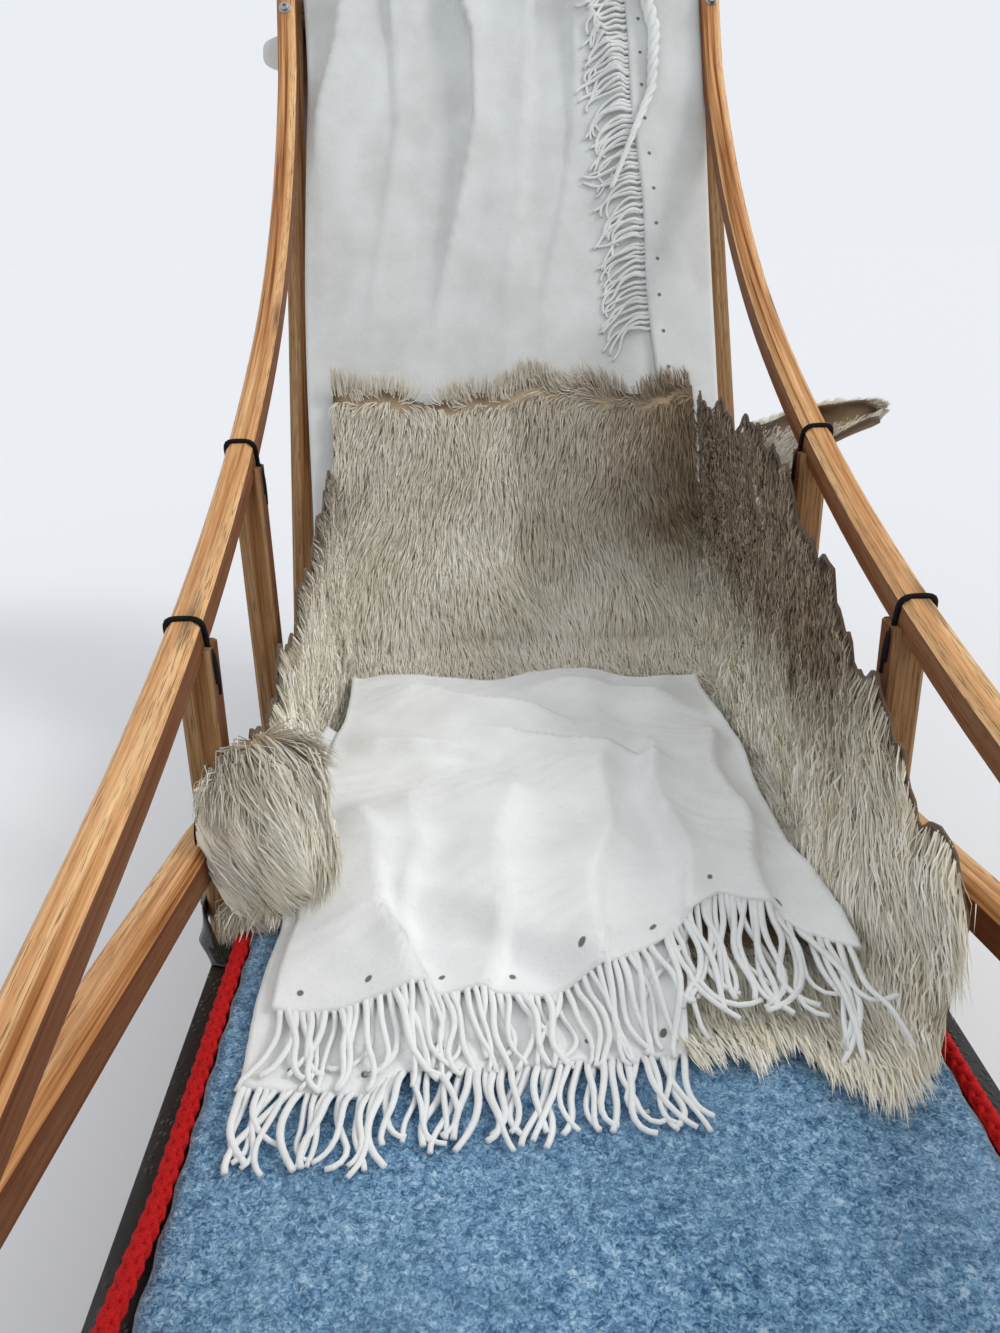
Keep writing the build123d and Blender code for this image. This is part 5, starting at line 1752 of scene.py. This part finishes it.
def under_upper(x, y, at_root):
    if at_root:
        return upper_height(x, y)
    inside = (x > -0.236) & (x < 0.088) & (y > lower_front(x))
    fringe = (x > -0.24) & (x < 0.09) & (y <= lower_front(x)) & (y > lower_front(x) - 0.06)
    on_lower = lower_height(x, y) + FLEECE / 2
    return np.where(inside, on_lower, resting_height(x, y) + np.where(fringe, 0.005, 0.0006))


lower_fringe = fringe_along(
    "seat_lower_fringe", -0.226, 0.081, lower_front, under_lower, 0.070, 0.35, heading=-12
)
upper_fringe = fringe_along(
    "seat_upper_fringe", -0.212, 0.066, upper_front, under_upper, 0.074, -0.30, heading=14
)
right_fringe = fringe_along(
    "seat_right_fringe", 0.078, 0.211, upper_front, under_upper, 0.112, 0.12, heading=-4, spacing=0.0043
)
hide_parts("seat_blanket")
print("fringes made")

# %% [markdown]
# ## Red ropes and black lashings
#
# A braided red rope runs taut along each edge of the mat, from the first stanchion to the front one,
# where a load is tied down. Six strands pass over and under each other, three each way round, so the
# surface shows slanted scales. Short black cords lash the rails to the stanchions under them: a turn
# over the rail, and two ends down the inner face of the stanchion. Each is a tube, or a family of
# tubes, along a line worked out from the frame.

# %% A braided rope along a line
def even_points(line, spacing):
    """Points at even spacing along a line."""
    points = np.array([tuple(p) for p in line])
    travelled = np.concatenate([[0], np.cumsum(np.linalg.norm(np.diff(points, axis=0), axis=1))])
    wanted = np.linspace(0, travelled[-1], max(4, round(travelled[-1] / spacing)))
    return np.stack([np.interp(wanted, travelled, points[:, k]) for k in range(3)], axis=1), wanted


def sides_of(points):
    """At each point of a line, the directions to its side and up."""
    heading = unit(np.gradient(points, axis=0))
    side = unit(np.cross(heading, [0.0, 0.0, 1.0]))
    return side, np.cross(side, heading)


STRANDS = 6
STRAND_RADIUS = 0.0030
BRAID_RADIUS = 0.0036
BRAID_PITCH = 0.040
BRAID_SPACING = 0.003


def braid(line):
    """Lines of the strands of a braid: half turn one way, half the other, weaving in and out."""
    middle, along = even_points(line, BRAID_SPACING)
    side, up = sides_of(middle)
    angle = 2 * np.pi * along / BRAID_PITCH
    made = []
    for k in range(STRANDS):
        way = 1 if k % 2 else -1
        turn = way * angle + 2 * np.pi * (k // 2) / (STRANDS / 2) + 0.39 * (k % 2)
        weave = np.cos(STRANDS / 2 * angle + np.pi * (k % 2))
        away = BRAID_RADIUS + 0.22 * STRAND_RADIUS * weave
        made.append(middle + side * (away * np.cos(turn))[:, None] + up * (away * np.sin(turn))[:, None])
    return np.array(made)


print("a braid of", STRANDS, "strands repeats every", BRAID_PITCH, "m")

# %% Finishes of the cords, and the red ropes
def cord_finish(name, light, dark):
    made = Finish(name, Roughness=0.8, Specular_IOR_Level=0.15)
    place = made.place()
    fibres = made.noise(place, 1500.0, 2.0, 0.6)
    worn = made.noise(place, 60.0, 3.0, 0.6)
    colour = made.mix(dark, light, fibres.ramp(0.35, 0.6))
    colour = made.mix(colour, dark, worn.ramp(0.55, 0.75) * 0.4)
    return made.set(Base_Color=colour, Normal=made.bump(fibres, 0.0006, 0.7))


red_cord = cord_finish("red_cord", from_screen(214, 34, 32), from_screen(150, 14, 20))
black_cord = cord_finish("black_cord", from_screen(26, 25, 28), from_screen(8, 8, 9))
rope_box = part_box("side_ropes")
ROPE_X = rope_box[1][0] - 0.006
rope_corners = [(ROPE_X, 0.0379, 0.2033), (ROPE_X, -0.532, 0.2033), (ROPE_X, -0.702, 0.2353)]
rope_line = rounded_line(rope_corners, (0.22,))
for side in (1, -1):
    line = rope_line if side > 0 else mirrored(rope_line)
    strands = braid(line)
    name = "right_rope" if side > 0 else "left_rope"
    tubes(name, strands, STRAND_RADIUS, 6, red_cord)
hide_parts("side_ropes")
print("ropes of", len(strands), "strands,", strands.shape[1], "points each")

# %% A turn of cord round the rail
CORD = 0.0024
LOOP_START = 2.4
LOOP_TURNS = 1.06
LOOP_STEPS = 28
LOOP_PITCH = 0.004
LOOP_HALF = (0.0155 + CORD * 0.8, 0.0128 + CORD * 0.8)
LOOP_UP = (0, 0.3, 1)
LOOP_SQUARE = 0.32


def turn_round(centre, way):
    """Line of a cord wound round a stick of rectangular section, its corners rounded."""
    up = Vector(LOOP_UP)
    up = (up - way * up.dot(way)).normalized()
    across = way.cross(up)
    points = []
    for k in range(int(LOOP_TURNS * LOOP_STEPS) + 1):
        turn = k / LOOP_STEPS
        angle = LOOP_START + 2 * math.pi * turn
        c, s = math.cos(angle), math.sin(angle)
        rise = math.copysign(abs(c) ** LOOP_SQUARE, c) * LOOP_HALF[0]
        side = math.copysign(abs(s) ** LOOP_SQUARE, s) * LOOP_HALF[1]
        points.append(centre + up * rise + across * side + way * (LOOP_PITCH * (turn - LOOP_TURNS / 2)))
    return points


def rail_at(y):
    """Place and direction of the right rail's centre line at Y."""
    for start, end in zip(rail_line, rail_line[1:]):
        if end.y <= y <= start.y:
            return start.lerp(end, (start.y - y) / (start.y - end.y)), (end - start).normalized()
    raise ValueError(y)


def round_cord(name, line):
    """One black cord along a line."""
    points = smoothed(even_points(line, CORD * 1.6)[0], 2)
    return tubes(name, points[None], CORD, 8, black_cord)


print("lashing cord is", 2 * CORD, "m thick")

# %% The lashings
# the two ends go down the post's inner face, from the rail's lower edge: offsets from its centre
ENDS = (
    (
        (-0.0165, 0.001, -0.010),
        (-0.0184, 0.001, -0.022),
        (-0.0182, 0.003, -0.038),
        (-0.0176, 0.004, -0.050),
    ),
    (
        (-0.0163, -0.003, -0.006),
        (-0.0190, -0.004, -0.016),
        (-0.0188, -0.003, -0.028),
        (-0.0180, -0.002, -0.038),
    ),
)
for station, y in (("first", 0.042), ("second", -0.243)):
    centre, way = rail_at(y)
    for side in (1, -1):
        loop = turn_round(centre, way)
        first, second = ([centre + Vector(offset) for offset in end] for end in ENDS)
        side_name = "right" if side > 0 else "left"
        for part, line in (("lashing", [*loop, *first]), ("lashing_end", [loop[0], *second])):
            line = [Vector((p.x * side, p.y, p.z)) for p in line]
            round_cord(f"{station}_{part}_{side_name}", line)
print("lashings on two stanchions a side")

# %% [markdown]
# ## Bolts and screws
#
# Whatever carries load on the sled is bolted: silver cap screws with a hexagon socket, each on a
# washer. The footboards are held by flat screws. A profile is turned round an axis, and in its middle
# the circle changes to a hexagon. Each kind has one profile, which is copied to a list of places and
# directions and mirrored to the other side.

# %% One bolt head, turned round its axis
# radius, height, 1 where the ring is a hexagon
CAP_SCREW = (
    (0.0001, 0.0, 0), (0.0085, 0.0, 0), (0.0085, 0.0011, 0), (0.0080, 0.0014, 0), (0.0060, 0.0014, 0),
    (0.0060, 0.0044, 0), (0.0052, 0.0052, 0), (0.0034, 0.0052, 0), (0.0028, 0.0049, 1), (0.0027, 0.0022, 1),
    (0.0001, 0.0020, 1),
)
FLAT_SCREW = (
    (0.0001, 0.0002, 0), (0.0042, 0.0002, 0), (0.0042, 0.0007, 0), (0.0036, 0.0010, 0), (0.0019, 0.0010, 1),
    (0.0017, 0.0004, 1), (0.0001, 0.0004, 1),
)
ROUND_STEPS = 24


def turned_head(profile, place, axis, turn=0.0):
    """Points and faces of a head that stands on its place and points along its axis."""
    axis = Vector(axis).normalized()
    side = axis.orthogonal().normalized()
    other = axis.cross(side)
    points = []
    for radius, height, hexagon in profile:
        for k in range(ROUND_STEPS):
            angle = 2 * math.pi * k / ROUND_STEPS
            flat = math.cos(math.pi / 6) / math.cos((angle % (math.pi / 3)) - math.pi / 6)
            far = radius * (flat * 1.12 if hexagon else 1)
            around = angle + turn
            points.append(
                Vector(place) + axis * height + (side * math.cos(around) + other * math.sin(around)) * far
            )
    faces = []
    for ring in range(len(profile) - 1):
        for k in range(ROUND_STEPS):
            near, after = ring * ROUND_STEPS + k, ring * ROUND_STEPS + (k + 1) % ROUND_STEPS
            faces.append((near, after, after + ROUND_STEPS, near + ROUND_STEPS))
    return points, faces


def heads(name, profile, places):
    """Many heads as one piece; places are (x, y, z), direction. Both sides of the sled get them."""
    points, faces = [], []
    for place, axis in places:
        for side in (1, -1):
            at = (place[0] * side, place[1], place[2])
            way = (axis[0] * side, axis[1], axis[2])
            more, rings = turned_head(profile, at, way, turn=chance.uniform(0, 1))
            faces.extend(tuple(index + len(points) for index in ring) for ring in rings)
            points.extend(more)
    made = make_piece(name, np.array([tuple(p) for p in points]), np.array(faces), zinc)
    made.modifiers.new("sharp", "EDGE_SPLIT").split_angle = math.radians(35)


print("a cap screw is", len(CAP_SCREW), "rings")

# %% Where the bolts and screws sit
def rail_face(down, ahead):
    """Place on the rail's straight top, a distance down from its end, and that far ahead of its middle."""
    y = rail_start_y - down * math.sin(LEAN) - ahead * math.cos(LEAN)
    return (RAIL_X, y, REAR_TOP[1] - down * math.cos(LEAN) + ahead * math.sin(LEAN))


FRONT = (0, -math.cos(LEAN), math.sin(LEAN))
REAR = (0, math.cos(LEAN), -math.sin(LEAN))
RAIL_HALF = 0.016
OUTWARD = (1, 0, 0)
bow_outer = BOW_X + 0.016


def leg_face(down, behind):
    """Place on the handle bow's leg, a distance down from the top bar, and behind the backrest."""
    y = backrest_y(TOP_BAR_Z) - down * math.sin(LEAN) + behind * math.cos(LEAN)
    return (REAR_TOP[0], y, TOP_BAR_Z - down * math.cos(LEAN) - behind * math.sin(LEAN))


crossing_y = -0.878
screws = [(rail_face(down, RAIL_HALF), FRONT) for down in (0.024, 0.063)]
screws += [(leg_face(down, 0.044), REAR) for down in (0.075, 0.185)]
screws += [((bow_outer, y, bow_height(y)), OUTWARD) for y in (-0.2406, -0.72)]
screws += [((bow_outer - 0.004, crossing_y, bow_height(crossing_y) + 0.002), OUTWARD)]
brace_points = guides["backrest_braces"][0]
for share in (0.035, 0.965):
    low, high = sorted(brace_points, key=lambda p: p.z)
    middle = low.lerp(high, share)
    screws.append(((middle.x + 0.011, middle.y, middle.z), OUTWARD))
screws += [((0.2994, -0.2406, 0.2135), OUTWARD)]
eye_places = [((0.267, y, z), (-1, 0, 0)) for y, z in ((-1.012, 0.280), (-1.020, 0.297))]
heads("cap_screws", CAP_SCREW, screws)
heads("eye_screws", CAP_SCREW, eye_places)
board_screws = [((x, y, 0.046), (0, 0, 1)) for x in (0.2472, 0.3328) for y in (0.84, 1.015, 1.19)]
heads("board_screws", FLAT_SCREW, board_screws)
print("cap screws", 2 * (len(screws) + len(eye_places)), "and flat screws", 2 * len(board_screws))

# %% Ribs on the pads, and the tabs that hold the plastic sheet's edge
def bar_points(low, high):
    """Corners of an upright box."""
    return [(x, y, z) for x in (low[0], high[0]) for y in (low[1], high[1]) for z in (low[2], high[2])]


BOX_FACES = np.array([(0, 1, 3, 2), (4, 6, 7, 5), (0, 4, 5, 1), (2, 3, 7, 6), (0, 2, 6, 4), (1, 5, 7, 3)])
RIB_PITCH = 0.0095
rib_points, rib_faces = [], []
for side in (1, -1):
    for y in np.arange(0.824, 1.210, RIB_PITCH):
        ends = sorted((side * 0.2535, side * 0.3265))
        rib_faces.append(BOX_FACES + len(rib_points))
        rib_points += bar_points((ends[0], y - 0.0017, 0.0503), (ends[1], y + 0.0017, 0.0528))
pad_rubber = nodes["footboard_pads"].data.materials[0]
make_piece("pad_ribs", np.array(rib_points), np.concatenate(rib_faces), pad_rubber)

tab_line = np.array(
    [[0.2982, -0.228, 0.2140], [0.2982, -0.257, 0.2130], [0.2970, -0.270, 0.2080],
     [0.2900, -0.286, 0.2005], [0.2800, -0.300, 0.1990], [0.2740, -0.312, 0.1985]]
)
tab_middle = smoothed(even_points(tab_line, 0.004)[0], 4)
lies_down = falling(tab_middle[:, 1], -0.262, 0.030)[:, None]
tab_across = unit(np.array([-1.0, -0.3, 0.0]) * lies_down + np.array([0.0, 0.0, 1.0]) * (1 - lies_down))
tab_widths = np.linspace(-0.0085, 0.0085, 4)[None, :, None]
for side in (1, -1):
    tab = (tab_middle[:, None] + tab_across[:, None] * tab_widths) * np.array([side, 1, 1])
    cloth_mesh(f"sheet_tab_{'right' if side > 0 else 'left'}", tab, 0.0022, bed_plastic, {})
print("ribs", len(rib_faces), "and two tabs")

# %% Count the triangles that were added
added = {
    made.name: sum(len(polygon.vertices) - 2 for polygon in made.data.polygons)
    for made in bpy.data.objects
    if made.type == "MESH" and made.name not in nodes
}
print("triangles added:", sum(added.values()), "most:", sorted(added.items(), key=lambda pair: -pair[1])[:14])
